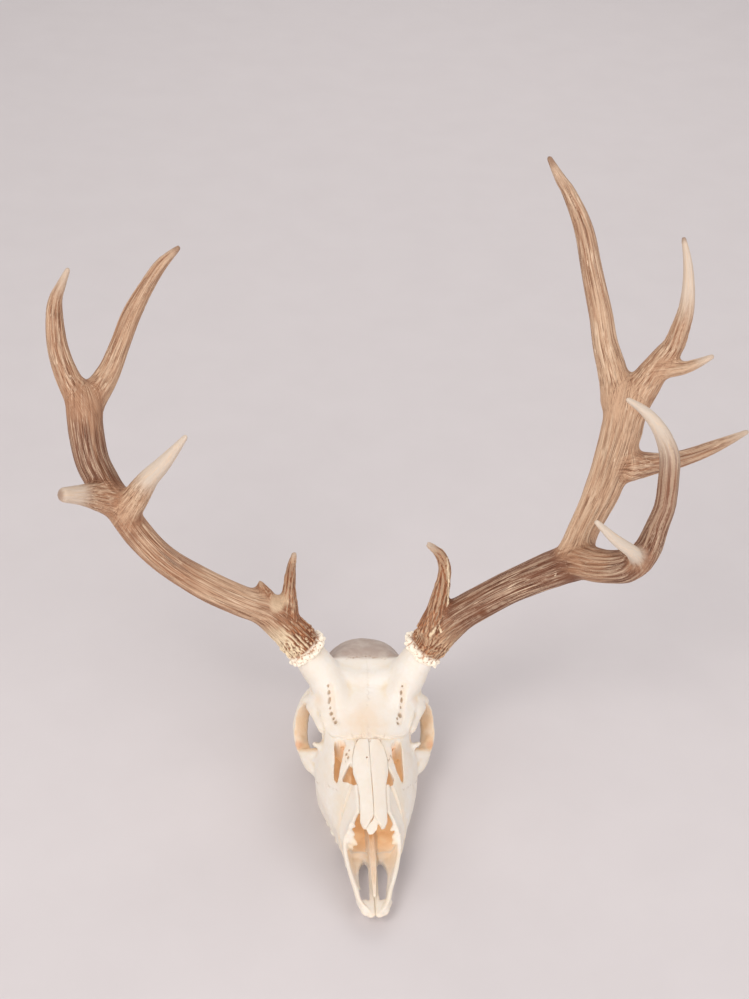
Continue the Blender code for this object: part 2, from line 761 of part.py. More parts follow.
def build_cranium():
    """Cranium and the two nasal bones."""
    skull = skull_shell()
    melt(skull, BONE_VOXEL, 2)
    carve(skull, skull_hollows())
    mesh = bmesh.new()
    mesh.from_mesh(skull.data)
    skull_additions(mesh)
    old = skull.data
    bpy.data.objects.remove(skull, do_unlink=True)
    bpy.data.meshes.remove(old)
    skull = object_from(mesh, "cranium")
    melt(skull, BONE_VOXEL * 0.8, 3)
    carve(skull, cheek_openings())
    largest_piece(skull)
    melt(skull, BONE_VOXEL * 0.8, 2)
    reduce_to(skull, CRANIUM_TRIANGLES)
    carve(skull, floor_block(0.0, "floor_cut"))
    pieces = []
    for sign, side in ((1, "left"), (-1, "right")):
        nasal = copy_of(skull, "nasal_" + side)
        carve(nasal, nasal_prism(sign, SUTURE_GAP, "nasal_outline"), "INTERSECT")
        largest_piece(nasal)
        pieces.append((nasal, "nasal_bone"))
    carve(skull, nasal_clearance("nasal_clearance"))
    carve(skull, slanted_wedge(SUTURE_GAP, "front_cut", keep_vomer=True))
    carve(skull, vomer_clearance(VOMER_SLOT + 0.5, -30.0, VOMER_UNDERSIDE, 67.0, "under_vomer"))
    largest_piece(skull)
    pieces.append((skull, "bone"))
    return pieces


def build_premaxilla(sign, side):
    """One of the two bones at the front of the snout."""
    mesh = bmesh.new()
    rings = []
    for back, foot_x, foot_z, belly_x, belly_z, rim_x, rim_z in smooth_rows(PREMAXILLA_STATIONS, 2):
        thick = PREMAXILLA_THICK
        ring = [
            (foot_x - 0.8, foot_z),
            (foot_x, foot_z + 1.5),
            (belly_x, belly_z),
            (rim_x, rim_z - 1.0),
            (rim_x - thick * 0.5, rim_z),
            (rim_x - thick, rim_z - 1.2),
            (belly_x - thick, belly_z),
            (foot_x - thick, foot_z + 1.5),
            (foot_x - thick + 0.8, foot_z),
        ]
        rings.append([Vector((sign * x, back, z)) for x, z in ring])
    skin_rings(mesh, rings)
    ball(mesh, (sign * 7, 12, 15.5), (7, 8.5, 3.6), (8, 0, 0))
    ball(mesh, (sign * 5.5, 8, 15), (5, 4.6, 3.2))
    tube(mesh, [(sign * 2.6, 8, 15, 3), (sign * 2.4, 24, 15.2, 3), (sign * 2.4, 45, 15.2, 3), (sign * 4, 62, 15.4, 3.4), (sign * 5, 74, 15, 4)])
    tube(mesh, [(sign * 2, 60, 15.2, 3.4), (sign * 9, 64.5, 15.2, 3.4), (sign * 16, 64, 15.2, 3.6), (sign * 21.5, 58, 15.5, 4)])
    ball(mesh, (sign * 12, 72, 15.4), (13, 9, 3))
    bone = object_from(mesh, "premaxilla_" + side)
    melt(bone, 1.3, 3)
    slit = bmesh.new()
    block(slit, (-sign * 50 + sign * SUTURE_GAP * 0.5, 60, 50), (100, 300, 200))
    carve(bone, nasal_clearance("nasal_clearance"))
    half_width = VOMER_SLOT + SUTURE_GAP
    low = VOMER_UNDERSIDE - SUTURE_GAP
    carve(bone, vomer_clearance(half_width, low, low + 10.0, 141.0, "round_vomer"))
    largest_piece(bone)
    reduce_to(bone, 330)
    carve(bone, slanted_wedge(0.0, "rear_cut"), "INTERSECT")
    carve(bone, object_from(slit, "midline_cut"))
    largest_piece(bone)
    return bone, "premaxilla_bone"


def build_tooth(sign, side, row):
    """One cheek tooth, flat where it is ground down and tapering towards the gum."""
    name, front, rear, inner, outer = row
    mesh = bmesh.new()
    length = rear - front
    width = outer - inner
    middle_x = sign * (inner + outer) * 0.5
    middle_y = (front + rear) * 0.5
    lobes = 2 if name.startswith("molar") else 1
    ring = []
    sides = 10
    for k in range(sides):
        angle = 2.0 * math.pi * (k + 0.5) / sides
        across = math.cos(angle)
        along = math.sin(angle)
        across = math.copysign(abs(across) ** 0.7, across)
        along = math.copysign(abs(along) ** 0.7, along)
        waist = 1.0
        if lobes == 2 and abs(along) < 0.3:
            waist = 0.86
        ring.append((across * waist * 0.5, along * 0.5))
    levels = [(0.0, 0.94), (1.5, 1.0), (TOOTH_TOP, 0.9)]
    rings = []
    for height, scale in levels:
        loop = [Vector((middle_x + x * width * scale, middle_y + y * length * scale, height)) for x, y in ring]
        rings.append(loop)
    skin_rings(mesh, rings)
    return object_from(mesh, name + "_" + side), "tooth_enamel"


def antler_mesh(branches, burr, sign):
    """One antler as a single melted skin."""
    mesh = bmesh.new()
    for rows, flatness in branches:
        if flatness < 1.0:
            tube(mesh, rows, flat_side=PALM_SIDE, flatness=flatness)
        else:
            tube(mesh, rows)
    axis = (sign * BURR_AXIS[0], BURR_AXIS[1], BURR_AXIS[2])
    bead_ring(mesh, burr, axis, BURR_RADIUS, BURR_BEAD)
    return mesh


def half_space(point, axis, name, size=1200.0):
    """Block whose one face passes through a point, filling the side the axis points to."""
    heading = Vector(axis).normalized()
    turn = Vector((0.0, 0.0, 1.0)).rotation_difference(heading).to_matrix().to_4x4()
    middle = Vector(point) + heading * (size * 0.5)
    mesh = bmesh.new()
    place = Matrix.Translation(middle) @ turn @ Matrix.Diagonal((size, size, size, 1.0))
    bmesh.ops.create_cube(mesh, size=1.0, matrix=place)
    return object_from(mesh, name)


def sleeve(rows, grow, name):
    """Loose tube round a branch; it starts flat across the branch and passes the tip."""
    start = Vector(rows[0][:3])
    way = (Vector(rows[1][:3]) - start).normalized()
    grown = [(*(start - way * grow), rows[0][3] + grow)]
    grown.extend((*row[:3], row[3] + grow) for row in rows[1:])
    mesh = bmesh.new()
    tube(mesh, grown, steps=1)
    return object_from(mesh, name)


def tine_sleeve(rows, share, room):
    """Sleeve rows for a plain tine, from a share of its first span to past its tip."""
    first = Vector(rows[0][:3])
    second = Vector(rows[1][:3])
    begin = first.lerp(second, share)
    heading = (second - first).normalized()
    out = [(*begin, rows[0][3] + (rows[1][3] - rows[0][3]) * share + room)]
    for row in rows[1:]:
        if (Vector(row[:3]) - begin).dot(heading) > 3.0:
            out.append((*row[:3], row[3] + room))
    end = Vector(out[-1][:3])
    way = (end - Vector(out[-2][:3])).normalized()
    out.append((*(end + way * 12.0), out[-1][3]))
    return out


def split_antler(whole, cuts):
    """Cuts the branches off an antler, one after another, with a thin gap left at each cut."""
    pieces = []
    for name, rows in cuts:
        branch = copy_of(whole, name)
        carve(branch, sleeve(rows, 0.0, "sleeve"), "INTERSECT")
        largest_piece(branch)
        carve(whole, sleeve(rows, FORK_GAP, "sleeve_gap"))
        largest_piece(whole)
        pieces.append(branch)
    return pieces


def build_antler(side, sign, branches, burr, cuts):
    """One antler, split at its forks."""
    whole = object_from(antler_mesh(branches, burr, sign), side + "_antler_beam")
    melt(whole, ANTLER_VOXEL, 2)
    reduce_to(whole, ANTLER_TRIANGLES)
    axis = (sign * BURR_AXIS[0], BURR_AXIS[1], BURR_AXIS[2])
    foot = Vector(burr) - Vector(axis) * 3.0
    carve(whole, half_space(foot, axis, "foot_cut"), "INTERSECT")
    largest_piece(whole)
    pieces = split_antler(whole, cuts)
    return [(whole, "antler")] + [(piece, "antler") for piece in pieces]


def trim_pedicles(pieces):
    """Ends both pedicles just under the burrs."""
    for thing, finish in pieces:
        if finish != "bone":
            continue
        for sign, burr in ((-1, RIGHT_BURR), (1, LEFT_BURR)):
            axis = Vector((sign * BURR_AXIS[0], BURR_AXIS[1], BURR_AXIS[2]))
            foot = Vector(burr) - axis * (3.0 + SUTURE_GAP)
            carve(thing, half_space(foot, axis, "pedicle_cut", size=60.0))
        largest_piece(thing)


def lean_of(back):
    """Sideways lean of the snout at a distance back from the nose tip."""
    share = min(max((LEAN_START - back) / (LEAN_START - LEAN_COMPLETE), 0.0), 1.0)
    return SNOUT_LEAN * share * share * (3.0 - 2.0 * share)


def finish(thing, finish_name, target):
    """Moves a mesh into place in metres, cleans it and gives it its material."""
    mesh = bmesh.new()
    mesh.from_mesh(thing.data)
    if finish_name != "antler":
        for vert in mesh.verts:
            vert.co.x += lean_of(vert.co.y)
    shift = Vector((-BOX_MIDDLE_X, -BOX_MIDDLE_Y, 0.0))
    for vert in mesh.verts:
        vert.co = (vert.co + shift) * MM
    bmesh.ops.remove_doubles(mesh, verts=mesh.verts, dist=0.00004)
    bmesh.ops.dissolve_degenerate(mesh, edges=mesh.edges, dist=0.00004)
    bmesh.ops.triangulate(mesh, faces=mesh.faces)
    bmesh.ops.recalc_face_normals(mesh, faces=mesh.faces)
    mesh.to_mesh(thing.data)
    mesh.free()
    thing.data.materials.clear()
    thing.data.materials.append(material(finish_name))
    for holder in list(thing.users_collection):
        holder.objects.unlink(thing)
    target.objects.link(thing)


def main():
    clear_scene()
    target = collection(COLLECTION)
    pieces = build_cranium()
    trim_pedicles(pieces)
    for sign, side in ((1, "left"), (-1, "right")):
        pieces.append(build_premaxilla(sign, side))
        for row in TEETH:
            pieces.append(build_tooth(sign, side, row))
    right_branches = [
        (RIGHT_BEAM, 1.0),
        (RIGHT_BROW_TINE, 1.0),
        (RIGHT_BROW_SPUR, 1.0),
        (RIGHT_OUTER_TINE, 1.0),
        (RIGHT_INNER_TINE, 1.0),
        (RIGHT_FRONT_TINE, 1.0),
        (RIGHT_REAR_STUB, 1.0),
    ]
    right_cuts = [
        ("right_brow_tine", tine_sleeve(RIGHT_BROW_TINE[1:], 0.18, 5.0)),
        ("right_front_tine", tine_sleeve(RIGHT_FRONT_TINE, 0.85, 5.0)),
        ("right_inner_tine", tine_sleeve(RIGHT_INNER_TINE[1:], 0.15, 5.0)),
        ("right_outer_tine", tine_sleeve(RIGHT_OUTER_TINE[1:], 0.15, 5.0)),
    ]
    pieces.extend(build_antler("right", -1, right_branches, RIGHT_BURR, right_cuts))
    left_branches = [
        (LEFT_BEAM, 1.0),
        (LEFT_BROW_TINE, 1.0),
        (LEFT_FRONT_BRANCH, 1.0),
        (LEFT_FRONT_POINT, 1.0),
        (LEFT_REAR_BRANCH, PALM_FLATNESS),
        (LEFT_TALL_TINE, 1.0),
        (LEFT_SECOND_TINE, 1.0),
        (LEFT_KICKER, 1.0),
        (LEFT_OUTWARD_TINE, 1.0),
    ]
    left_cuts = [
        ("left_brow_tine", tine_sleeve(LEFT_BROW_TINE[1:], 0.2, 5.0)),
        ("left_front_point", tine_sleeve(LEFT_FRONT_POINT, 0.75, 4.0)),
        ("left_front_branch", tine_sleeve(LEFT_FRONT_BRANCH, 0.85, 8.0)),
        ("left_outward_tine", tine_sleeve(LEFT_OUTWARD_TINE, 0.85, 6.0)),
        ("left_tall_tine", tine_sleeve(LEFT_TALL_TINE[1:], 0.2, 6.0)),
        ("left_second_tine", LEFT_SECOND_SLEEVE),
        ("left_rear_branch", LEFT_REAR_SLEEVE),
    ]
    pieces.extend(build_antler("left", 1, left_branches, LEFT_BURR, left_cuts))
    for thing, finish_name in pieces:
        finish(thing, finish_name, target)


main()
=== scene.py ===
"""Looks of a mule deer skull with both antlers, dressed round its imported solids.

Forms are shaped in skull millimetres and moved into the frame, in metres, when each piece is finished:
x counts towards the deer's left, y counts back from the nose tip and z counts up from the floor.
"""

import logging
import math
from contextlib import contextmanager
from dataclasses import dataclass
from enum import Enum
from typing import Callable, Iterator, Optional, Sequence, Union

import bmesh
import bpy
import numpy as np
from mathutils import Matrix, Vector, noise


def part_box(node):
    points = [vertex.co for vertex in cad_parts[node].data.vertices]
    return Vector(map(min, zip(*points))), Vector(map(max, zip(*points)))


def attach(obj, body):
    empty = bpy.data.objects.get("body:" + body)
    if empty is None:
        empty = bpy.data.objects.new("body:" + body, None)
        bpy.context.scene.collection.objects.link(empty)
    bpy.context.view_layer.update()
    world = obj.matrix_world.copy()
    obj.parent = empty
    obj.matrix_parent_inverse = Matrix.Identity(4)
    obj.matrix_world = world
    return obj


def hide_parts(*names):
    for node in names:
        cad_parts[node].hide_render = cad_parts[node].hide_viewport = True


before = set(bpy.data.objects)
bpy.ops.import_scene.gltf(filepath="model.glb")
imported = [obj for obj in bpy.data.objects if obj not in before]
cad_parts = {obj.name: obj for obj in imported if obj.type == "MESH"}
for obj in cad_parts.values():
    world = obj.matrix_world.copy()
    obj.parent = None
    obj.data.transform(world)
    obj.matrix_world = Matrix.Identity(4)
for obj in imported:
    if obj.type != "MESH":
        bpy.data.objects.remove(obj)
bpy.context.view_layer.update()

LOG = logging.getLogger("deer_skull")
MM = 0.001
SHARP_ANGLE = math.radians(52)
FAR_AWAY = 99.0

Array = np.ndarray
Thing = bpy.types.Object
Row = tuple[float, ...]
Socket = bpy.types.NodeSocket
Feed = Union[float, Row, Socket]


@dataclass(frozen=True)
class Ball:
    """Ellipsoid on the deer's left: its centre, its half lengths and its turn in degrees about x, y and z."""

    middle: Row
    radii: Row
    turn: Row = (0, 0, 0)


@dataclass(frozen=True)
class Seam:
    """Suture: its line, how far that strays, its dark span, its groove, and the width made finer."""

    path: Sequence[Row]
    wander: float
    dark_span: Row
    darkness: float
    groove: float
    depth: float
    fine: float


Form = Union[Ball, Sequence[Row]]

# Half sections of the skull from the roof's midline round to the base's, as (x, z) at a distance back.
# Each row goes roof, roof shoulder, ridge, upper wall, widest wall, lower wall, lower edge, base.
SKULL_SECTIONS = [
    (56, [(0, 57), (7, 56), (12.5, 52), (17, 44), (22, 32), (22.5, 22), (20, 14), (0, 15)]),
    (66, [(0, 61), (7, 60), (12.5, 56.5), (18.5, 47), (25, 34), (25, 22), (22, 14), (0, 16)]),
    (80, [(0, 66.5), (7, 65.5), (13, 62.5), (20, 52), (28.5, 34), (28.5, 22), (25.5, 13), (0, 17)]),
    (95, [(0, 72), (7, 71), (13.5, 68), (23, 57), (33, 36), (32, 23), (28.5, 12), (0, 17)]),
    (112, [(0, 78), (7.5, 77), (14.5, 74.5), (27, 61), (38.5, 37), (38, 24), (34, 12), (0, 18)]),
    (130, [(0, 84.5), (9, 83.5), (20, 79.5), (33, 65), (43.5, 39), (43, 25), (38.5, 12), (0, 19)]),
    (146, [(0, 89.5), (14, 88.5), (29, 83), (38, 67), (46, 43), (44, 28), (40.5, 12), (0, 20)]),
    (160, [(0, 93.5), (20, 92.5), (36, 86.5), (40, 72), (46, 46), (43, 29), (40.5, 12), (0, 21)]),
    (175, [(0, 99.2), (28, 98.2), (45, 90), (44, 74), (43, 52), (40, 34), (36, 14), (0, 28)]),
    (183, [(0, 102), (30, 101.5), (48, 90.5), (44, 75), (41, 55), (33, 42), (27, 33), (0, 38)]),
    (192, [(0, 105.5), (32, 105), (50, 91), (44, 77), (38, 56), (30, 42), (24, 36), (0, 40)]),
    (206, [(0, 110), (34, 112), (49, 98), (43, 82), (37, 62), (30, 44), (23, 34), (0, 34)]),
    (222, [(0, 113), (27, 113), (38, 101), (38.5, 83), (38, 64), (33, 46), (24, 34), (0, 30)]),
    (238, [(0, 111), (20, 109), (32, 99), (38.5, 82), (39, 64), (35, 48), (27, 35), (0, 28)]),
    (252, [(0, 106), (17, 104), (29, 94), (36, 79), (37.5, 62), (34, 47), (27, 35), (0, 28)]),
    (264, [(0, 98), (14, 95), (25, 86), (31, 73), (34, 58), (32, 47), (25, 37), (0, 29)]),
    (273, [(0, 87), (11, 84), (18, 77), (23, 68), (25, 56), (23, 47), (17, 38), (0, 33)]),
]

# The hollow of the nose, laid out the same way.
NOSE_HOLLOW_SECTIONS = [
    (44, [(0, 62), (6, 61), (11, 55), (15, 47), (18.5, 38), (19, 28), (15, 20), (0, 20)]),
    (66, [(0, 57), (6, 56), (10.5, 52.5), (15, 45), (20.5, 35), (20, 26), (16, 21), (0, 20)]),
    (80, [(0, 62.5), (6, 61.5), (10.5, 58), (15.5, 49), (23, 36), (20, 27), (16, 22), (0, 21)]),
    (95, [(0, 68), (6, 67), (10.5, 63.5), (17.5, 54), (26, 38), (21, 28), (16, 23), (0, 22)]),
    (112, [(0, 74), (7, 73), (12, 69.5), (22, 58), (30, 42), (22, 31), (16, 24), (0, 23)]),
    (130, [(0, 80.5), (8, 79.5), (17, 74.5), (28, 62), (34, 46), (23, 33), (15, 25), (0, 24)]),
    (146, [(0, 85.5), (12, 84), (24, 77), (30, 65), (30, 49), (20, 36), (13, 27), (0, 26)]),
    (160, [(0, 89), (14, 87.5), (24, 79), (23, 67), (20, 52), (15, 40), (10, 31), (0, 29)]),
    (174, [(0, 93), (12, 91), (18, 82), (17, 70), (15, 56), (12, 44), (8, 36), (0, 34)]),
    (186, [(0, 96), (6, 94), (9, 87), (9, 78), (8, 64), (6, 54), (4, 46), (0, 44)]),
]

# Side wing of a premaxilla at a distance back: outer x and height of its foot, its belly and its rim.
PREMAXILLA_STATIONS = [
    (5, 5.4, 12.5, 5.2, 15, 4.8, 17.5), (10, 10.4, 12, 10.4, 16, 10.2, 20),
    (16, 13.2, 12, 13.8, 17.5, 14.2, 23), (25, 14.6, 12, 15.8, 19.5, 16.8, 27),
    (35, 16.4, 12.5, 18.6, 22, 20.2, 30.5), (47, 18.8, 12.5, 21.4, 24.5, 23.4, 35),
    (57, 20.8, 13, 23.8, 28, 25, 40), (65, 22.6, 13.5, 25.6, 31, 24.2, 46.5),
    (72, 24.6, 14, 27.2, 34, 19.5, 56), (80, 26.2, 15, 28.6, 37, 15.4, 60.5),
    (90, 29, 16.5, 29.2, 41, 15.4, 64.5), (102, 31, 18, 29.2, 47, 15.2, 69),
]

# Outline of one nasal bone seen from above, as (x, y) from its rear round to its tip.
NASAL_OUTLINE = [
    (9, 140.5), (13.2, 133), (15.4, 124), (15.4, 113), (12.2, 101), (11.4, 90), (11.7, 70), (10, 64),
    (7, 62), (0, 74),
]

# Broken splinter that hangs in the notch between the nasal bones' tips, going round its upper face.
SPLINTER = [
    (-6.6, 63.5, 57), (-4.4, 60, 54.6), (-1, 60.5, 55), (2.6, 64, 57), (3.6, 69.5, 60), (3, 75, 62.6),
    (1.4, 75, 62.6), (-1.4, 69.5, 60.2), (-4.4, 66.5, 58.6),
]
# Small holes in the nasal bones, as x, y, radius and darkness, the darkness being painted shade in the hole.
NASAL_HOLES = [(-2.8, 123.3, 0.75, 0.9), (0.9, 138, 0.6, 0.5)]

# Opening through the floor of one premaxilla, seen from above, as (x, y).
PALATE_SLIT = [
    (3.7, 40), (3.8, 26), (4.3, 19.5), (5.4, 17.6), (7, 20.5), (9.6, 28), (11.7, 38), (12.4, 47),
    (11.4, 55), (8.8, 60.5), (5.8, 62.8), (3.8, 58),
]

# Rim of the deer's left orbit, going round from its top backwards: x, y, z.
ORBIT_RIM = [
    (46, 183, 85), (53, 193, 82), (60, 198, 70), (63, 193, 55), (62.5, 181, 43), (56, 166, 40),
    (48, 156, 46), (42, 151, 58), (38, 156, 74), (41, 168, 83),
]

# Cheek teeth on one side: name, y of the front, y of the rear, x of the inner side, x of the outer side.
TEETH = [
    ("premolar_2", 98, 107.6, 20.5, 29), ("premolar_3", 108, 118.6, 22.5, 32.5),
    ("premolar_4", 119, 129.6, 24, 35.5), ("molar_1", 130, 143.6, 25.5, 38),
    ("molar_2", 144, 158.6, 26.5, 40), ("molar_3", 159, 173.6, 26.5, 40),
]

# Bony stalks the antlers stand on, their roots and the ridge between them, as x, y, z and radius.
PEDICLES = [
    [(22, 190, 84, 17), (32, 200, 100, 17), (42, 208, 114, 15.8), (52, 213, 130, 14)],
    [(-22, 190, 84, 17), (-33, 200, 100, 17), (-45, 208, 114, 15.8), (-56, 214, 130, 14)],
    [(21, 170, 86, 8), (28, 186, 95, 14), (35, 198, 103, 16), (43, 207, 114, 15)],
    [(-21, 170, 86, 8), (-28, 186, 95, 14), (-35, 198, 103, 16), (-43, 207, 114, 15)],
    [(-46, 207, 108, 13), (-30, 203, 101, 14), (0, 202, 97, 14), (30, 203, 101, 14), (46, 207, 108, 13)],
]

# Hollows on the midline: braincase, its opening at the rear and the airway.
MIDDLE_HOLLOWS = [
    Ball((0, 232, 71), (31, 33, 29)),
    [(0, 292, 44, 11.5), (0, 272, 46, 11.5), (0, 255, 55, 13)],
    [(0, 152, 39, 10), (0, 168, 35, 12), (0, 186, 32, 12), (0, 204, 22, 10), (0, 216, 8, 10)],
]
# Hollows on each side: orbit, temporal hollow and the space behind the teeth.
SIDE_HOLLOWS = [
    Ball((60, 175, 63), (36, 21.5, 21.5), (0, 0, -14)),
    Ball((59, 212, 66), (21, 20, 24)),
    Ball((45, 196, 30), (19, 30, 22)),
]
# Forms on each side of the hollowed skull: the brow's ledge over the orbit in three rods, the orbit's floor
# and front, the cheek arch back to the ear, the orbit's rear, condyle, process, ear bone, plates behind the
# palate and the wall beside the nose.
SIDE_FORMS = [
    [(51.8, 187, 84.5, 3.2), (48.8, 179, 84, 3), (45.8, 172, 83, 2.8), (43, 165, 81.5, 2.8),
     (39.6, 158, 79, 2.8)],
    [(49.4, 186, 86.4, 3.6), (46.2, 178, 86, 3.5), (42.8, 170, 84.6, 3.3), (39.4, 162, 82.4, 3)],
    [(46, 185, 87.5, 4.4), (43, 176, 87, 4.2), (39.4, 167, 85, 4), (36, 159, 82.5, 3.6)],
    Ball((51, 163, 39), (6, 18, 6), (0, 0, -20)),
    [(57, 169, 43, 4.5), (50, 164, 47, 5), (41, 160, 51, 6)],
    [(39, 156, 63, 3.6), (44.5, 157, 65, 3), (48.5, 158, 66, 2.4)],
    [(58, 182, 43, 5), (60, 196, 47, 5), (59, 208, 51, 4.6), (56, 218, 55, 4.5), (51, 229, 57, 4.8),
     (40, 240, 59, 7)],
    [(42, 186, 90, 7), (50, 193, 86, 5), (55, 197, 78, 4.4)],
    Ball((13, 274, 39), (9.5, 10, 12.5), (0, 0, 20)),
    [(33, 252, 46, 9), (31, 258, 30, 7), (29, 261, 14, 5.2), (27, 261, -3, 4)],
    Ball((21, 236, 29), (8, 12, 9)),
    [(15, 160, 30, 4), (15, 178, 36, 3.4), (14, 200, 38, 4)],
    [(15, 166, 24, 3.4), (14, 178, 23, 3), (13, 190, 27, 3), (13, 200, 34, 3.6)],
    [(12, 176, 40, 6), (12, 192, 46, 6), (10, 208, 46, 8)],
    [(22, 149, 68, 7.5), (22, 133, 60, 8.5), (23, 117, 52, 8), (21, 104, 47, 6.5)],
]
# Rods on or across the midline: base of the braincase, crest of the nape and ridge of the vomer.
MIDDLE_RODS = [
    [(0, 196, 46, 9), (0, 214, 39, 8), (0, 240, 31, 9), (0, 266, 32, 11)],
    [(-26, 258, 76, 3.5), (-17, 267, 84, 3.6), (0, 271, 88, 4), (17, 267, 84, 3.6), (26, 258, 76, 3.5)],
    [(0, 14, 20.4, 1.1), (0, 28, 21.3, 2.2), (0, 45, 22, 3.2), (0, 75, 23.4, 3.6), (0, 112, 24.5, 4.2)],
]
# Tip, floor and inner rim of the deer's left premaxilla.
PREMAXILLA_FORMS = [
    Ball((6.4, 12.5, 15.2), (6.6, 8.5, 3), (8, 0, 0)),
    Ball((3.6, 6.6, 15), (4.2, 4.6, 2.6)),
    [(2.6, 8, 15, 3), (2.4, 24, 15.2, 3), (2.4, 45, 15.2, 3), (4, 62, 15.4, 3.4), (5, 74, 15, 4)],
    [(2, 64, 15.2, 3.4), (9, 67, 15.2, 3.4), (16, 65, 15.2, 3.6), (21.5, 58, 15.5, 4)],
    [(13.4, 32, 15.2, 2.6), (15.4, 45, 15.4, 3.2), (14.4, 56, 15.6, 3.4), (9, 64, 15.8, 3.2)],
    [(13, 20, 15, 2.6), (10.8, 13.5, 14.6, 2.4), (7, 9, 14.4, 2)],
    [(12.8, 78, 59.4, 1.9), (12.8, 86, 62.3, 2.2), (12.9, 95, 65.4, 2.4), (13.4, 103, 68.4, 2.6)],
    Ball((12, 72, 18.4), (13.5, 10.5, 4), (14, 0, 0)),
    Ball((14, 56, 16.2), (7.5, 15, 3.2), (4, 0, 0)),
]

# Antlers: each row is x, y, z and the radius of the branch there.
RIGHT_BEAM = [
    (-51, 214, 121, 15.6), (-61, 216, 135, 16.4), (-74, 214, 154, 16), (-92, 211, 175, 14.6),
    (-113, 204, 190, 13.3), (-144, 200, 211, 13), (-176, 201, 236, 12), (-199, 204, 263, 12.5),
    (-215, 213, 286, 13.5), (-226, 220, 302, 14), (-235, 229, 317, 14.5), (-240, 240, 338, 15),
    (-242, 251, 362, 16),
]
RIGHT_BROW_TINE = [
    (-73, 214, 158, 13), (-71, 216, 179, 8.5), (-70, 218, 196, 5.5), (-69, 219, 212, 4.5),
    (-66, 222, 229, 2.2),
]
RIGHT_BROW_SPUR = [(-81, 213, 168, 12), (-88.5, 214, 184, 8), (-94.5, 216, 196, 4.6), (-97, 217, 202, 2.2)]
RIGHT_BROW_THORN = [(-84, 213, 174, 9), (-86.5, 211, 187, 5), (-85, 210, 196, 2.6)]
RIGHT_OUTER_TINE = [
    (-241, 250, 358, 15), (-254, 258, 379, 10.5), (-262, 266, 403, 8.5), (-264, 274, 429, 7),
    (-262, 275, 444, 5.5), (-257, 275, 456, 4), (-250, 274, 472, 2.2),
]
RIGHT_INNER_TINE = [
    (-239, 252, 358, 14), (-223, 270, 376, 10), (-213, 282, 397, 8.5), (-203, 289, 422, 7.8),
    (-189, 293, 448, 6.2), (-177, 294, 467, 5), (-162, 291, 484, 2.2),
]
RIGHT_FRONT_TINE = [
    (-209, 209, 278, 14), (-195, 202, 305, 10.5), (-186, 196, 323, 8.2), (-175, 188, 341, 6.5),
    (-164, 181, 360, 4.5), (-154, 175, 378, 2.2),
]
RIGHT_REAR_STUB = [(-217, 212, 289, 15), (-232, 201, 301, 11.5), (-244, 188, 311, 8), (-257, 178, 318, 6)]
LEFT_BEAM = [
    (47, 213, 121, 15.6), (58, 213, 139, 16.8), (69, 210, 158, 16.2), (81, 206, 175, 15),
    (94, 202, 189, 14.4), (119, 197, 211, 14.2), (147, 189, 234, 15.6), (173, 181, 254, 17.8),
]
LEFT_BROW_TINE = [
    (55, 209, 150, 13.5), (59, 209, 172, 10), (61, 210, 186, 8.5), (63, 211, 202, 7), (64, 213, 218, 5.8),
    (60, 213, 232, 4.8), (53, 212, 241, 3.5), (46, 211, 247, 2.2),
]
LEFT_FRONT_BRANCH = [
    (169, 184, 252, 17), (189, 154, 267, 14), (205, 132, 286, 13.5), (213, 124, 307, 11.5),
    (219, 127, 329, 9.2), (224, 133, 344, 8.5), (226, 143, 362, 8.5), (226, 152, 379, 8.2),
    (218, 158, 397, 6.5), (205, 162, 412, 4.5), (187, 162, 425, 2.2),
]
LEFT_FRONT_POINT = [(210, 129, 290, 10), (198, 107, 316, 6), (179, 98, 336, 4.5), (160, 92, 358, 2.2)]
LEFT_REAR_BRANCH = [
    (169, 186, 256, 17), (176, 193, 278, 14.5), (182, 197, 293, 15), (188, 203, 305, 16.5),
    (194, 210, 320, 17.5), (199, 218, 335, 18.5), (203, 226, 348, 19), (206, 234, 362, 20),
    (208, 240, 374, 21),
]
LEFT_TALL_TINE = [
    (202, 240, 371, 17), (197, 251, 390, 13), (189, 265, 413, 10.8), (184, 279, 437, 10),
    (175, 292, 469, 9), (166, 302, 501, 8), (153, 308, 528, 6), (143, 310, 542, 4.5), (132, 311, 560, 2.2),
]
LEFT_SECOND_TINE = [
    (211, 239, 374, 17), (224, 242, 396, 13), (233, 243, 413, 10.5), (240, 243, 426, 8.8),
    (244, 245, 442, 7.5), (247, 248, 458, 6.5), (247, 253, 476, 5.2), (245, 260, 494, 4),
    (240, 267, 513, 2.2),
]
LEFT_KICKER = [(234, 237, 407, 9), (253, 228, 416, 5), (270, 225, 428, 2.2)]
LEFT_OUTWARD_TINE = [
    (206, 212, 328, 15), (234, 220, 326, 9.2), (259, 229, 325, 7), (290, 242, 329, 5.5),
    (321, 255, 336.5, 2.2),
]

# Openings beside the nasal bones, seen from above, as (x, y): the long slits, right and left, and the
# triangles in front of them.
ROOF_OPENINGS = [
    [(-28.4, 146), (-20.8, 140), (-22.8, 131), (-25.8, 122), (-28.8, 111.5), (-30.6, 122), (-29.4, 134.5)],
    [(28, 145.2), (20.4, 138), (20.2, 127), (23.6, 119), (28.8, 112), (29.8, 124), (28.8, 137.4)],
    [(-16.6, 122.5), (-24.2, 114), (-23.2, 110.5), (-12.4, 101.5), (-12, 112)],
    [(14.2, 118), (20.4, 110), (17.8, 104.3), (10.6, 101.2), (10, 110)],
]

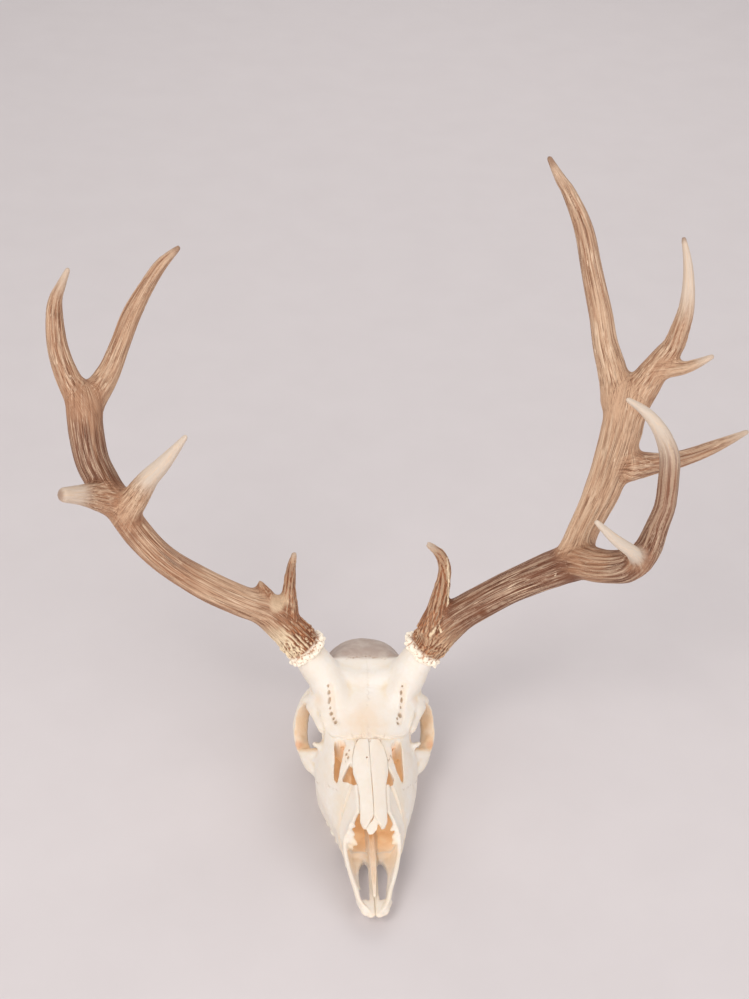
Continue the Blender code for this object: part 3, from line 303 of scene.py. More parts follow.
# Pits in the grooves over the orbits, seen from above, as x, y and radius.
BROW_PITS = [
    (-34.9, 183.4, 0.9), (-34.3, 179.6, 1.2), (-34, 175.4, 1.3), (-33.2, 171.2, 0.9), (-32.3, 166.9, 1.4),
    (-30.4, 162.6, 1.2), (-28.8, 159.4, 1.5), (30.8, 183.2, 0.8), (29.9, 179, 1.3), (30.6, 174.6, 1.2),
    (29.8, 170.6, 0.8), (29, 165, 1.8), (26.2, 161.6, 1.1), (26.9, 158, 1.3),
]
# Smaller holes in the struts beside the nasal bones.
STRUT_PITS = [
    (-20.7, 137.1, 1), (-24.3, 136.4, 0.9), (-17.6, 131.8, 0.8), (-20.1, 129.6, 1), (19.8, 135.2, 0.8),
    (21.2, 131.1, 1), (16.1, 122.9, 0.8), (-22.8, 133.4, 0.6), (-18.9, 126.4, 1.1), (-21.5, 124.6, 0.6),
    (22.2, 134.6, 0.6), (19.4, 127.8, 1.1), (17.5, 124.4, 0.6),
]

# Broken thin edges inside the nose, as x, y, z and radius.
BROKEN_EDGES = {
    "right": [
        [(-24, 66, 47, 3), (-19.5, 65, 43.5, 2.9), (-14.6, 63.5, 39, 1.9)],
        [(-23, 64.5, 43, 3), (-18, 64, 40, 2.9), (-13.2, 63, 36.8, 1.5)],
        [(-24, 63, 38, 3), (-20, 62.4, 35.5, 2.4), (-16.8, 61.6, 33.2, 1.3)],
        [(-22, 68, 50, 3), (-18.4, 67, 47, 2.4), (-15.8, 66.4, 44.8, 1.4)],
        [(-20, 72, 54.5, 2.4), (-17, 71, 52, 1.8), (-15.4, 70.4, 50, 1)],
    ],
    "left": [
        [(20, 71, 52.5, 2.8), (16.8, 69.6, 50, 2.2), (14.4, 68.6, 47.6, 1.2)],
        [(23, 67, 47, 3), (18.8, 66, 44.4, 2.7), (16.2, 65, 42, 1.7)],
        [(23.4, 64.6, 42.4, 3), (18.6, 63.8, 39.6, 2.6), (15.8, 63, 37.4, 1.3)],
        [(24, 62.6, 37, 2.8), (20.8, 62, 34.4, 2.2), (18.4, 61.6, 32.4, 1.1)],
    ],
}

# Lighter and darker stretches of the antlers, as x, y, z, radius and change of tone.
TONE_SPOTS = [
    (-234, 230, 320, 52, -0.3), (-212, 207, 280, 36, -0.18), (-104, 207, 184, 34, 0.4),
    (-131, 196, 214, 30, 0.34), (-168, 204, 244, 28, -0.22), (180, 155, 268, 32, 0.34),
    (166, 300, 498, 66, -0.3), (222, 130, 338, 44, -0.16),
]

# Pale crusty ridge up the left brow tine, forked at its foot.
PALE_CRUST = [
    [
        (65, 211, 231), (66.3, 208.6, 223), (67.3, 207, 213), (68.2, 206, 200), (68, 205.4, 190),
        (66.7, 203.4, 182.7), (64, 201, 175.8), (60.5, 199.6, 169), (56.5, 198.2, 161), (53.4, 197, 157),
    ],
    [
        (60.5, 199.6, 169), (62, 197.6, 165), (62.6, 196, 162.6),
    ],
]

# Dark ends and stains on the antlers, as x, y, z, radius and strength.
DARK_SPOTS = [
    (97, 187, 190, 6, 0.8), (132, 311, 560, 13, 0.55), (240, 267, 513, 7, 0.5), (-162, 291, 484, 10, 0.45),
    (-258, 177, 318, 8, 0.5), (-69, 219, 212, 9, 0.3), (-88, 213, 176, 8, 0.35),
]

# Warm tints on the brow and the struts, as x, y, z, radius and strength.
BONE_TINTS = [
    (-43.4, 181.4, 95.5, 9, 0.3), (43.4, 181.4, 95.5, 8, 0.3), (8.9, 158.1, 92.9, 10, 0.3),
    (-4, 154, 92, 30, 0.46), (-20.5, 130, 80, 12, 0.35), (19.5, 128, 79, 12, 0.35),
]

# Lines on the skull. All but the midline's are given for the deer's left and used on both sides.
BROW_EDGE = [(7.4, 142.6, 88.2), (18, 143, 86.6), (25.4, 145.6, 85), (32.5, 149.8, 82), (39.8, 161.6, 75),
             (42.5, 170, 74)]
MIDLINE_SUTURE = [(0.8, 216, 112), (1.1, 194, 108), (0.6, 177, 100), (0, 158, 93), (-0.4, 141, 88)]
SUPRAORBITAL_GROOVE = [(32.4, 183.5, 110), (31.6, 177, 103), (31.2, 171, 97), (29.6, 163, 91.5),
                       (27.6, 158.6, 90)]
CORONAL_SUTURE = [(0, 221, 113), (11, 219, 113), (23, 217, 111), (33, 216, 103), (38, 219, 92)]
LAMBDOID_SUTURE = [(0, 252, 106), (12, 251, 103), (22, 254, 95), (29, 259, 84)]
LACRIMAL_SUTURE = [(47, 143, 38), (43, 133, 41.5), (36, 121, 49.5), (28.4, 109, 56)]
CHEEK_SUTURE = [(55, 163, 34), (50, 152, 33), (46, 143, 37)]
SEAMS = [
    Seam(CORONAL_SUTURE, 2.6, (0.9, 0.2), darkness=0.7, groove=1.6, depth=0.5, fine=5),
    Seam(LAMBDOID_SUTURE, 2.2, (0.9, 0.2), darkness=0.6, groove=1.5, depth=0.5, fine=5),
    Seam(LACRIMAL_SUTURE, 1.4, (0.8, 0.1), darkness=0.42, groove=1.3, depth=0.4, fine=4),
    Seam(CHEEK_SUTURE, 1.4, (0.8, 0.1), darkness=0.42, groove=1.3, depth=0.4, fine=4),
]


def smooth_rows(rows: Sequence[Row], steps: int, closed: bool = False) -> Array:
    """Rows with extra ones put between them along a smooth line.

    Args:
        rows: rows of numbers of equal length.
        steps: how many rows each span becomes.
        closed: whether the last row leads back to the first.

    Returns:
        One row of numbers for each step.
    """
    table = np.asarray(rows, dtype=float)
    count = len(table)
    starts = np.arange(count if closed else count - 1)

    def shifted(offset: int) -> Array:
        """Rows an offset away from each start."""
        index = starts + offset
        index = index % count if closed else np.clip(index, 0, count - 1)
        return table[index][:, None]

    before, start, end, after = (shifted(offset) for offset in (-1, 0, 1, 2))
    share = (np.arange(steps) / steps)[None, :, None]
    square = share**2
    cube = share**3
    curve = start * (2 * cube - 3 * square + 1) + end * (3 * square - 2 * cube)
    curve = curve + (end - before) * 0.5 * (cube - 2 * square + share)
    curve = curve + (after - start) * 0.5 * (cube - square)
    flat = curve.reshape(-1, table.shape[1])
    return flat if closed else np.vstack([flat, table[-1]])


def ramp(values: Array, low: float, high: float) -> Array:
    """Smooth rise from nought at one value to one at another.

    Args:
        values: numbers to map.
        low: value that gives nought.
        high: value that gives one; it may be below low.

    Returns:
        Numbers from nought to one.
    """
    share = np.clip((values - low) / (high - low), 0.0, 1.0)
    return share * share * (3.0 - 2.0 * share)


def speckle(points: Array, size: float, octaves: int = 3, seed: float = 0.0) -> Array:
    """Fractal noise at points, about from minus one to one.

    Args:
        points: places, one a row.
        size: width of the largest blots in the points' own units.
        octaves: how many finer layers are added.
        seed: shift that gives another pattern.

    Returns:
        One number for each point.
    """
    places = (points / size + seed).tolist()
    return np.array([noise.fractal(place, 1.0, 2.1, octaves) for place in places])


def cells(points: Array, size: float, seed: float = 0.0) -> Array:
    """Distance to the nearest of many scattered points, in units of their spacing.

    Args:
        points: places, one a row.
        size: spacing of the scattered points.
        seed: shift that gives another pattern.

    Returns:
        One distance for each point.
    """
    places = (points / size + seed).tolist()
    return np.array([noise.voronoi(place)[0][0] for place in places])


@dataclass(frozen=True)
class PathFit:
    """Nearest places on a path for a set of points."""

    distance: Array
    share: Array
    along: Array
    radius: Array
    offset: Array
    segment: Array


def fit_path(points: Array, rows: Array) -> PathFit:
    """Nearest place on a broken line for each point.

    Args:
        points: places, one a row.
        rows: the line's x, y and z, with a radius as a fourth number if it has one.

    Returns:
        Distances, positions along the line, radii there, offsets from it and the nearest spans.
    """
    ends = rows[:, :3]
    sizes = rows[:, 3] if rows.shape[1] > 3 else np.zeros(len(rows))
    spans = ends[1:] - ends[:-1]
    lengths = np.maximum(np.linalg.norm(spans, axis=1), 1e-6)
    before = np.concatenate([[0.0], np.cumsum(lengths)])
    best = np.full(len(points), np.inf)
    share = np.zeros(len(points))
    segment = np.zeros(len(points), dtype=int)
    for i, (start, span, length) in enumerate(zip(ends, spans, lengths)):
        part = np.clip(((points - start) @ span) / (length * length), 0.0, 1.0)
        gap = points - start - part[:, None] * span
        reach = np.einsum("ij,ij->i", gap, gap)
        nearer = reach < best
        best[nearer] = reach[nearer]
        share[nearer] = part[nearer]
        segment[nearer] = i
    centre = ends[segment] + share[:, None] * spans[segment]
    radius = sizes[segment] + share * (sizes[segment + 1] - sizes[segment])
    along = before[segment] + share * lengths[segment]
    return PathFit(np.sqrt(best), along / before[-1], along, radius, points - centre, segment)


def on_side(rows: Sequence[Row], sign: int) -> list[Row]:
    """Rows given for the deer's left, as they are for 1 and mirrored for -1."""
    return [(sign * row[0], *row[1:]) for row in rows]


def both_sides(rows: Sequence[Row]) -> list[list[Row]]:
    """The rows and their mirror image across the midline."""
    return [on_side(rows, 1), on_side(rows, -1)]


def flat_sections(rows: Sequence[tuple[float, list[Row]]]) -> list[list[float]]:
    """Half sections as plain rows of numbers, each led by its distance back."""
    return [[back] + [number for point in half for number in point] for back, half in rows]


def reach_from(points: Array, spot: Sequence[float]) -> Array:
    """Distances of points from a spot."""
    return np.linalg.norm(points - np.array(spot), axis=1)


def along_facing(vectors: Array, facing: Array) -> Array:
    """Dot product of each vector with its own direction."""
    return np.einsum("ij,ij->i", vectors, facing)


@dataclass(frozen=True)
class SkullPlace:
    """Where the skull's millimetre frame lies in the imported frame, read from a pair of teeth."""

    midline: float
    nose: float
    lean: float = 2.4
    lean_start: float = 150.0
    lean_complete: float = 75.0

    @classmethod
    def from_frame(cls, tooth_middle: float = 151.3) -> "SkullPlace":
        """Reads the place from the second molars.

        Args:
            tooth_middle: how far back from the nose tip the middle of a second molar is.

        Returns:
            The place, in millimetres.
        """
        corners = [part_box("molar_2_left"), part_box("molar_2_right")]
        middles = [[(low[i] + high[i]) * 0.5 / MM for i in range(3)] for low, high in corners]
        midline = (middles[0][0] + middles[1][0]) * 0.5
        return cls(midline, middles[0][1] - tooth_middle)

    def lean_of(self, back: Array) -> Array:
        """Sideways lean of the snout at distances back from the nose tip."""
        return self.lean * ramp(back, self.lean_start, self.lean_complete)

    def to_frame(self, points: Array, leaning: bool) -> Array:
        """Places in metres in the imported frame.

        Args:
            points: places in skull millimetres.
            leaning: whether the snout's lean is added.

        Returns:
            The same places in the frame.
        """
        moved = points.copy()
        if leaning:
            moved[:, 0] += self.lean_of(points[:, 1])
        moved[:, 0] += self.midline
        moved[:, 1] += self.nose
        return moved * MM


PLACE = SkullPlace.from_frame()


def new_thing(name: str, mesh: bmesh.types.BMesh) -> Thing:
    """Object made from a bmesh, which is used up.

    Args:
        name: the object's name.
        mesh: what it is made from.

    Returns:
        The new object.
    """
    data = bpy.data.meshes.new(name)
    mesh.to_mesh(data)
    mesh.free()
    thing = bpy.data.objects.new(name, data)
    bpy.context.scene.collection.objects.link(thing)
    return thing


def drop(thing: Thing) -> None:
    """Removes an object and its mesh.

    Args:
        thing: what is removed.
    """
    data = thing.data
    bpy.data.objects.remove(thing, do_unlink=True)
    bpy.data.meshes.remove(data)


@contextmanager
def opened(thing: Thing) -> Iterator[bmesh.types.BMesh]:
    """Lends an object's mesh for editing and writes it back afterwards.

    Args:
        thing: object whose mesh is edited.

    Returns:
        The mesh, as a bmesh.
    """
    mesh = bmesh.new()
    mesh.from_mesh(thing.data)
    yield mesh
    mesh.to_mesh(thing.data)
    mesh.free()


def bake(thing: Thing) -> None:
    """Replaces an object's mesh by what its modifiers make of it."""
    graph = bpy.context.evaluated_depsgraph_get()
    baked = bpy.data.meshes.new_from_object(thing.evaluated_get(graph))
    old = thing.data
    thing.modifiers.clear()
    thing.data = baked
    bpy.data.meshes.remove(old)


def melt(thing: Thing, voxel: float, rounds: int, factor: float = 0.5) -> None:
    """Melts overlapping forms into one skin and smooths it.

    Args:
        thing: object to melt.
        voxel: size of the skin's squares.
        rounds: how often the skin is smoothed.
        factor: how much each round smooths.
    """
    remesh = thing.modifiers.new("melt", "REMESH")
    remesh.mode = "VOXEL"
    remesh.voxel_size = voxel
    if rounds:
        smooth = thing.modifiers.new("smooth", "SMOOTH")
        smooth.factor = factor
        smooth.iterations = rounds
    bake(thing)


def carve(thing: Thing, cutter: Thing, operation: str = "DIFFERENCE") -> None:
    """Boolean of a thing with a cutter, which is used up.

    Args:
        thing: object that is cut.
        cutter: object that cuts.
        operation: kind of Boolean.
    """
    modifier = thing.modifiers.new("carve", "BOOLEAN")
    modifier.operation = operation
    modifier.solver = "EXACT"
    modifier.object = cutter
    bake(thing)
    drop(cutter)


def reduce_to(thing: Thing, triangles: int) -> None:
    """Fewer triangles, and only triangles.

    Args:
        thing: object to reduce.
        triangles: how many triangles are left.
    """
    with opened(thing) as mesh:
        bmesh.ops.triangulate(mesh, faces=mesh.faces)
    count = len(thing.data.polygons)
    if count > triangles:
        modifier = thing.modifiers.new("reduce", "DECIMATE")
        modifier.ratio = triangles / count
        bake(thing)


def largest_piece(thing: Thing) -> None:
    """Keeps only the piece of a mesh with the most points, dropping crumbs left by a cut.

    Args:
        thing: object to clean.
    """
    edges = np.empty(len(thing.data.edges) * 2, dtype=np.int64)
    thing.data.edges.foreach_get("vertices", edges)
    first, second = edges.reshape(-1, 2).T
    group = np.arange(len(thing.data.vertices))
    while True:
        lowest = np.minimum(group[first], group[second])
        fresh = group.copy()
        np.minimum.at(fresh, first, lowest)
        np.minimum.at(fresh, second, lowest)
        fresh = fresh[fresh]
        if np.array_equal(fresh, group):
            break
        group = fresh
    names, sizes = np.unique(group, return_counts=True)
    if len(names) == 1:
        return
    kept = names[np.argmax(sizes)]
    with opened(thing) as mesh:
        crumbs = [vert for vert, own in zip(mesh.verts, group) if own != kept]
        bmesh.ops.delete(mesh, geom=crumbs, context="VERTS")


def slice_off(thing: Thing, point: Row, away: Row) -> None:
    """Cuts a closed mesh with a plane, drops one side and closes the cut.

    Args:
        thing: object that is cut.
        point: a point on the plane.
        away: direction of the side that is dropped.
    """
    with opened(thing) as mesh:
        everything = list(mesh.verts) + list(mesh.edges) + list(mesh.faces)
        bmesh.ops.bisect_plane(mesh, geom=everything, plane_co=point, plane_no=away, clear_outer=True)
        rim = [edge for edge in mesh.edges if edge.is_boundary]
        bmesh.ops.triangle_fill(mesh, edges=rim, use_beauty=True, use_dissolve=False)
        bmesh.ops.recalc_face_normals(mesh, faces=mesh.faces)


def refine(thing: Thing, chosen: Callable[[Array], Array], longest: float, rounds: int) -> None:
    """Finer triangles where a rule says so.

    Args:
        thing: object whose mesh is refined.
        chosen: rule that gives true for each point to refine round.
        longest: edges shorter than this are left alone.
        rounds: how often edges are halved.
    """
    with opened(thing) as mesh:
        for _ in range(rounds):
            marked = chosen(np.array([vert.co[:] for vert in mesh.verts]))
            mesh.verts.index_update()
            edges = [
                edge for edge in mesh.edges
                if all(marked[vert.index] for vert in edge.verts) and edge.calc_length() > longest
            ]
            bmesh.ops.subdivide_edges(mesh, edges=edges, cuts=1, smooth=0.0)
            bmesh.ops.triangulate(mesh, faces=[face for face in mesh.faces if len(face.verts) > 3])


class Clay:
    """Lump of forms in skull millimetres, kept in one bmesh until it becomes an object."""

    def __init__(self, source: Optional[Thing] = None) -> None:
        """Starts empty, or from an object that is used up.

        Args:
            source: object whose mesh the lump starts with.
        """
        self.mesh = bmesh.new()
        if source is not None:
            self.mesh.from_mesh(source.data)
            drop(source)

    def loft(self, rings: Sequence[Array], joined: bool = False) -> None:
        """Skin over a row of rings.

        Args:
            rings: places of each ring's points, all rings with as many.
            joined: whether the last ring leads back to the first; otherwise both ends are capped.
        """
        sides = len(rings[0])
        ring = list(bmesh.ops.create_circle(self.mesh, segments=sides, radius=1.0)["verts"])
        for vert, spot in zip(ring, rings[0]):
            vert.co = spot
        first = self.ring_edges(ring)
        edges = first
        for spots in rings[1:]:
            made = bmesh.ops.extrude_edge_only(self.mesh, edges=edges)["geom"]
            fresh = {part for part in made if isinstance(part, bmesh.types.BMVert)}
            ring = [self.follower(vert, fresh) for vert in ring]
            for vert, spot in zip(ring, spots):
                vert.co = spot
            edges = self.ring_edges(ring)
        if joined:
            bmesh.ops.bridge_loops(self.mesh, edges=first + edges)
        else:
            bmesh.ops.edgeloop_fill(self.mesh, edges=first)
            bmesh.ops.edgeloop_fill(self.mesh, edges=edges)

    def ring_edges(self, ring: Sequence[bmesh.types.BMVert]) -> list[bmesh.types.BMEdge]:
        """Edges between each point of a ring and the next."""
        return [self.mesh.edges.get((ring[i - 1], ring[i])) for i in range(len(ring))]

    @staticmethod
    def follower(vert: bmesh.types.BMVert, fresh: set[bmesh.types.BMVert]) -> bmesh.types.BMVert:
        """Point that an extrusion made from another point."""
        return next(edge.other_vert(vert) for edge in vert.link_edges if edge.other_vert(vert) in fresh)

    def rod(self, rows: Sequence[Row], steps: int = 4, sides: int = 14, flat_side: Optional[Row] = None,
            flatness: float = 1.0) -> None:
        """Tapering rod along rows of x, y, z and radius, with a rounded far end.

        Args:
            rows: the rod's middle line and radii.
            steps: rings to each span.
            sides: points to each ring.
            flat_side: direction that the rod is flattened along.
            flatness: thickness along that direction as a share of the width.
        """
        fine = smooth_rows(rows, steps)
        end = fine[-1].copy()
        heading = fine[-1][:3] - fine[-2][:3]
        heading = heading / np.linalg.norm(heading)
        fine[-1][:3] -= heading * end[3] * 0.45
        cap = [end.copy(), end.copy()]
        cap[0][:3] -= heading * end[3] * 0.12
        cap[0][3] *= 0.7
        cap[1][3] *= 0.25
        fine = np.vstack([fine, cap])
        self.loft(tube_rings(fine, sides, flat_side, flatness))

    def ball(self, middle: Row, radii: Row, turn: Row = (0.0, 0.0, 0.0)) -> None:
        """Ellipsoid with its own turn in degrees about x, y and z.

        Args:
            middle: its centre.
            radii: its half lengths along its own axes.
            turn: its turn in degrees.
        """
        bmesh.ops.create_uvsphere(self.mesh, u_segments=28, v_segments=18, radius=1.0,
                                  matrix=placing(middle, turn, radii))

    def block(self, middle: Row, size: Row, turn: Row = (0.0, 0.0, 0.0)) -> None:
        """Box with its own turn in degrees about x, y and z.

        Args:
            middle: its centre.
            size: its lengths along its own axes.
            turn: its turn in degrees.
        """
        bmesh.ops.create_cube(self.mesh, size=1.0, matrix=placing(middle, turn, size))

    def forms(self, shapes: Sequence[Form], sign: int) -> None:
        """Balls and rods on one side of the skull.

        Args:
            shapes: each a ball or a rod's rows, for the deer's left.
            sign: 1 for the left side and -1 for the right.
        """
        for shape in shapes:
            if isinstance(shape, Ball):
                turn = (*shape.turn[:2], sign * shape.turn[2])
                self.ball(on_side([shape.middle], sign)[0], shape.radii, turn)
            else:
                self.rod(on_side(shape, sign))

    def bead_ring(self, middle: Row, axis: Vector, radius: float, bead: float) -> None:
        """Ring of round section about an axis.

        Args:
            middle: its centre.
            axis: the direction it turns about.
            radius: distance from the axis to the section's middle.
            bead: radius of the section.
        """
        axis = axis.normalized()
        outward = axis.orthogonal().normalized()
        turn = Matrix((outward, axis, outward.cross(axis))).transposed().to_4x4()
        place = Matrix.Translation(Vector(middle) + outward * radius) @ turn
        section = bmesh.ops.create_circle(self.mesh, segments=12, radius=bead, matrix=place)["verts"]
        edges = {edge for vert in section for edge in vert.link_edges}
        bmesh.ops.spin(self.mesh, geom=list(section) + list(edges), cent=Vector(middle), axis=axis,
                       angle=math.tau, steps=36, use_merge=True)

    def sections(self, rows: Sequence[tuple[float, list[Row]]], steps: int) -> None:
        """Smooth body through half sections placed along y.

        Args:
            rows: distance back and half section, as (x, z) from the top round to the bottom.
            steps: rings to each span, and points to each corner of a section.
        """
        rings = []
        for row in smooth_rows(flat_sections(rows), steps):
            half = row[1:].reshape(-1, 2)
            other = half[-2:0:-1] * (-1.0, 1.0)
            ring = smooth_rows(np.vstack([half, other]), steps, closed=True)
            rings.append(np.column_stack([ring[:, 0], np.full(len(ring), row[0]), ring[:, 1]]))
        self.loft(rings)

    def prism(self, outline: Sequence[Row], low: float, high: float) -> None:
        """Upright prism over an outline of (x, y) points.

        Args:
            outline: corners seen from above.
            low: height of its foot.
            high: height of its top.
        """
        flat = np.asarray(outline, dtype=float)
        self.loft([np.column_stack([flat, np.full(len(flat), height)]) for height in (low, high)])

    def become(self, name: str) -> Thing:
        """Object holding the lump.

        Args:
            name: the object's name.

        Returns:
            The new object.
        """
        bmesh.ops.recalc_face_normals(self.mesh, faces=self.mesh.faces)
        return new_thing(name, self.mesh)


def placing(middle: Row, turn: Row, stretch: Row) -> Matrix:
    """Matrix of a place, a turn in degrees about x, y and z, and a stretch.

    Args:
        middle: the place.
        turn: the turns.
        stretch: lengths along the turned axes.

    Returns:
        The matrix.
    """
    place = Matrix.Translation(Vector(middle))
    for axis, degrees in zip("XYZ", turn):
        place = place @ Matrix.Rotation(math.radians(degrees), 4, axis)
    return place @ Matrix.Diagonal((*stretch, 1.0))


def carried_frames(ends: Array) -> tuple[Array, Array, Array]:
    """Headings and two side directions along a line, carried from point to point without a twist.

    Args:
        ends: places along the line.

    Returns:
        Heading, first side and second side at each place.
    """
    headings = np.gradient(ends, axis=0)
    headings /= np.maximum(np.linalg.norm(headings, axis=1), 1e-9)[:, None]
    start = np.cross(headings[0], (0.0, 1.0, 0.2))
    sides = [start / np.linalg.norm(start)]
    for heading in headings[1:]:
        side = sides[-1] - heading * np.dot(sides[-1], heading)
        sides.append(side / np.linalg.norm(side))
    first = np.array(sides)
    return headings, first, np.cross(headings, first)


def tube_rings(rows: Array, sides: int, flat_side: Optional[Row], flatness: float) -> list[Array]:
    """Rings round a line, flattened towards a side if one is given.

    Args:
        rows: x, y, z and radius along the line.
        sides: points to each ring.
        flat_side: direction of the flattening.
        flatness: thickness along that direction as a share of the width.

    Returns:
        Places of each ring's points.
    """
    headings, first, second = carried_frames(rows[:, :3])
    angles = np.arange(sides) * (math.tau / sides)
    rings = []
    for row, one, two in zip(rows, first, second):
        offset = (np.cos(angles)[:, None] * one + np.sin(angles)[:, None] * two) * row[3]
        if flat_side is not None:
            side = np.array(flat_side) / np.linalg.norm(flat_side)
            offset = offset - np.outer(offset @ side, side) * (1.0 - flatness)
        rings.append(row[:3] + offset)
    return rings


class Skin:
    """Points and facing directions of an object's mesh, for sculpting it by numbers."""

    def __init__(self, thing: Thing) -> None:
        """Reads the mesh.

        Args:
            thing: object to sculpt.
        """
        self.thing = thing
        self.read()

    def read(self) -> None:
        """Reads points, facing directions and edges again."""
        mesh = self.thing.data
        count = len(mesh.vertices)
        spots = np.empty(count * 3)
        mesh.vertices.foreach_get("co", spots)
        self.points = spots.reshape(-1, 3)
        facing = np.empty(count * 3, dtype=np.float32)
        mesh.vertex_normals.foreach_get("vector", facing)
        self.facing = facing.reshape(-1, 3).astype(float)
        edges = np.empty(len(mesh.edges) * 2, dtype=np.int64)
        mesh.edges.foreach_get("vertices", edges)
        self.edges = edges.reshape(-1, 2)

    def write(self) -> None:
        """Puts the points back and works out the facing directions again."""
        self.thing.data.vertices.foreach_set("co", self.points.ravel())
        self.thing.data.update()
        self.read()

    def ease(self, weight: Array, rounds: int) -> None:
        """Smooths the surface where a weight says so.

        Args:
            weight: from nought to one for each point.
            rounds: how often it is smoothed.
        """
        for _ in range(rounds):
            self.points += (self.softened(1) - self.points) * weight[:, None]
        self.write()

    def push(self, height: Array) -> None:
        """Moves each point out along its facing direction by a height, and updates the mesh."""
        self.points = self.points + self.facing * height[:, None]
        self.write()

    def spread(self, values: Array, rounds: int) -> Array:
        """Values averaged with those of neighbouring points.

        Args:
            values: one number for each point.
            rounds: how often they are averaged.

        Returns:
            The averaged numbers.
        """
        count = len(self.points)
        first, second = self.edges[:, 0], self.edges[:, 1]
        degree = np.bincount(first, minlength=count) + np.bincount(second, minlength=count) + 1.0
        for _ in range(rounds):
            near = np.bincount(first, weights=values[second], minlength=count)
            near += np.bincount(second, weights=values[first], minlength=count)
            values = (values + near) / degree
        return values

    def softened(self, rounds: int) -> Array:
        """Points of a smoothed copy of the surface."""
        return np.column_stack([self.spread(self.points[:, i], rounds) for i in range(3)])

    def hollowness(self, rounds: int, reach: float) -> Array:
        """How sunken each point lies against a smoothed copy of the surface.

        Args:
            rounds: how much the copy is smoothed.
            reach: depth that counts as fully sunken.

        Returns:
            Numbers from minus one on edges to one in hollows.
        """
        depth = along_facing(self.softened(rounds) - self.points, self.facing)
        return np.clip(depth / reach, -1.0, 1.0)

    def keep(self, **masks: Union[Array, float]) -> None:
        """Keeps masks on the mesh as attributes.

        Args:
            masks: by its name, each with a number or a vector for every point, or with one number for all.
        """
        for name, values in masks.items():
            numbers = np.asarray(values, dtype=np.float32)
            if numbers.ndim == 0:
                numbers = np.full(len(self.points), numbers)
            kind, field = ("FLOAT_VECTOR", "vector") if numbers.ndim == 2 else ("FLOAT", "value")
            kept = self.thing.data.attributes.new(name=name, type=kind, domain="POINT")
            kept.data.foreach_set(field, numbers.ravel())


class Wiring:
    """Adds shader nodes to one tree and joins them."""

    def __init__(self, tree: bpy.types.NodeTree) -> None:
        """Keeps the tree."""
        self.tree = tree

    def feed(self, socket: Socket, source: Feed) -> None:
        """Sets a socket from a number, a colour or another socket.

        Args:
            socket: input that is set.
            source: what it gets.
        """
        if isinstance(source, bpy.types.NodeSocket):
            self.tree.links.new(source, socket)
        elif isinstance(source, (int, float)):
            socket.default_value = source
        else:
            wanted = len(socket.default_value)
            socket.default_value = tuple(source) if len(source) == wanted else (*source, 1.0)

    def add(self, kind: str, feeds: dict[Union[int, str], Feed], **settings: object) -> bpy.types.Node:
        """New node.

        Args:
            kind: its type.
            feeds: what its inputs get, by place or by name.
            settings: its own settings.

        Returns:
            The node.
        """
        node = self.tree.nodes.new("ShaderNode" + kind)
        for key, value in settings.items():
            setattr(node, key, value)
        for key, source in feeds.items():
            self.feed(node.inputs[key], source)
        return node

    def math(self, operation: str, first: Feed, second: Feed) -> Socket:
        """Result of a named operation on two values, kept from nought to one."""
        return self.add("Math", {0: first, 1: second}, operation=operation, use_clamp=True).outputs[0]

    def times(self, first: Feed, second: Feed) -> Socket:
        """Product of two values."""
        return self.math("MULTIPLY", first, second)

    def plus(self, first: Feed, second: Feed) -> Socket:
        """Sum of two values."""
        return self.math("ADD", first, second)

    def span(self, value: Feed, low: Feed, high: Feed, to_low: float = 0.0, to_high: float = 1.0) -> Socket:
        """Value mapped smoothly from one span to another.

        Args:
            value: what is mapped.
            low: start of its span.
            high: end of its span.
            to_low: result at the start.
            to_high: result at the end.

        Returns:
            The mapped value.
        """
        feeds = dict(enumerate((value, low, high, to_low, to_high)))
        return self.add("MapRange", feeds, interpolation_type="SMOOTHSTEP").outputs[0]

    def blend(self, share: Feed, first: Feed, second: Feed, mode: str = "MIX") -> Socket:
        """Mixture of two colours.

        Args:
            share: how much of the second shows.
            first: the colour below.
            second: the colour above.
            mode: how they mix.

        Returns:
            The mixed colour.
        """
        return self.add("Mix", {0: share, 6: first, 7: second}, data_type="RGBA", blend_type=mode).outputs[2]

    def coats(self, colour: Feed, *layers: tuple[Feed, Feed], mode: str = "MIX") -> Socket:
        """Colours laid one over another.

        Args:
            colour: the lowest one.
            layers: mask and colour of each coat, from below upwards.
            mode: how they mix.

        Returns:
            The colour of them all.
        """
        for share, coat in layers:
            colour = self.blend(share, colour, coat, mode)
        return colour

    def noise(self, vector: Socket, scale: Feed, detail: Feed = 3.0, roughness: float = 0.55) -> Socket:
        """Noise from nought to one at a vector.

        Args:
            vector: where it is read.
            scale: how fine it is.
            detail: how many finer layers it has.
            roughness: how strong those are.

        Returns:
            The noise value.
        """
        feeds = {"Vector": vector, "Scale": scale, "Detail": detail, "Roughness": roughness}
        return self.add("TexNoise", feeds).outputs[0]

    def stretched(self, vector: Socket, scale: Row) -> Socket:
        """Vector with each axis scaled by its own number."""
        return self.add("Mapping", {"Vector": vector, "Scale": scale}).outputs[0]

    def own_place(self) -> Socket:
        """Object coordinates of the piece."""
        return self.add("TexCoord", {}).outputs["Object"]

    def kept(self, name: str, part: str = "Fac") -> Socket:
        """Attribute stored on the mesh, as a value or as a vector."""
        return self.add("Attribute", {}, attribute_name=name).outputs[part]

    def group(self, effect: bpy.types.NodeTree, **values: Feed) -> Socket:
        """Value of a shared effect with its own settings."""
        return self.add("Group", values, node_tree=effect).outputs[0]

    def bump(self, height: Socket, strength: float, distance: float) -> Socket:
        """Facing direction bumped by a height, up to a real distance in metres."""
        feeds = {"Strength": strength, "Distance": distance, "Height": height}
        return self.add("Bump", feeds).outputs["Normal"]


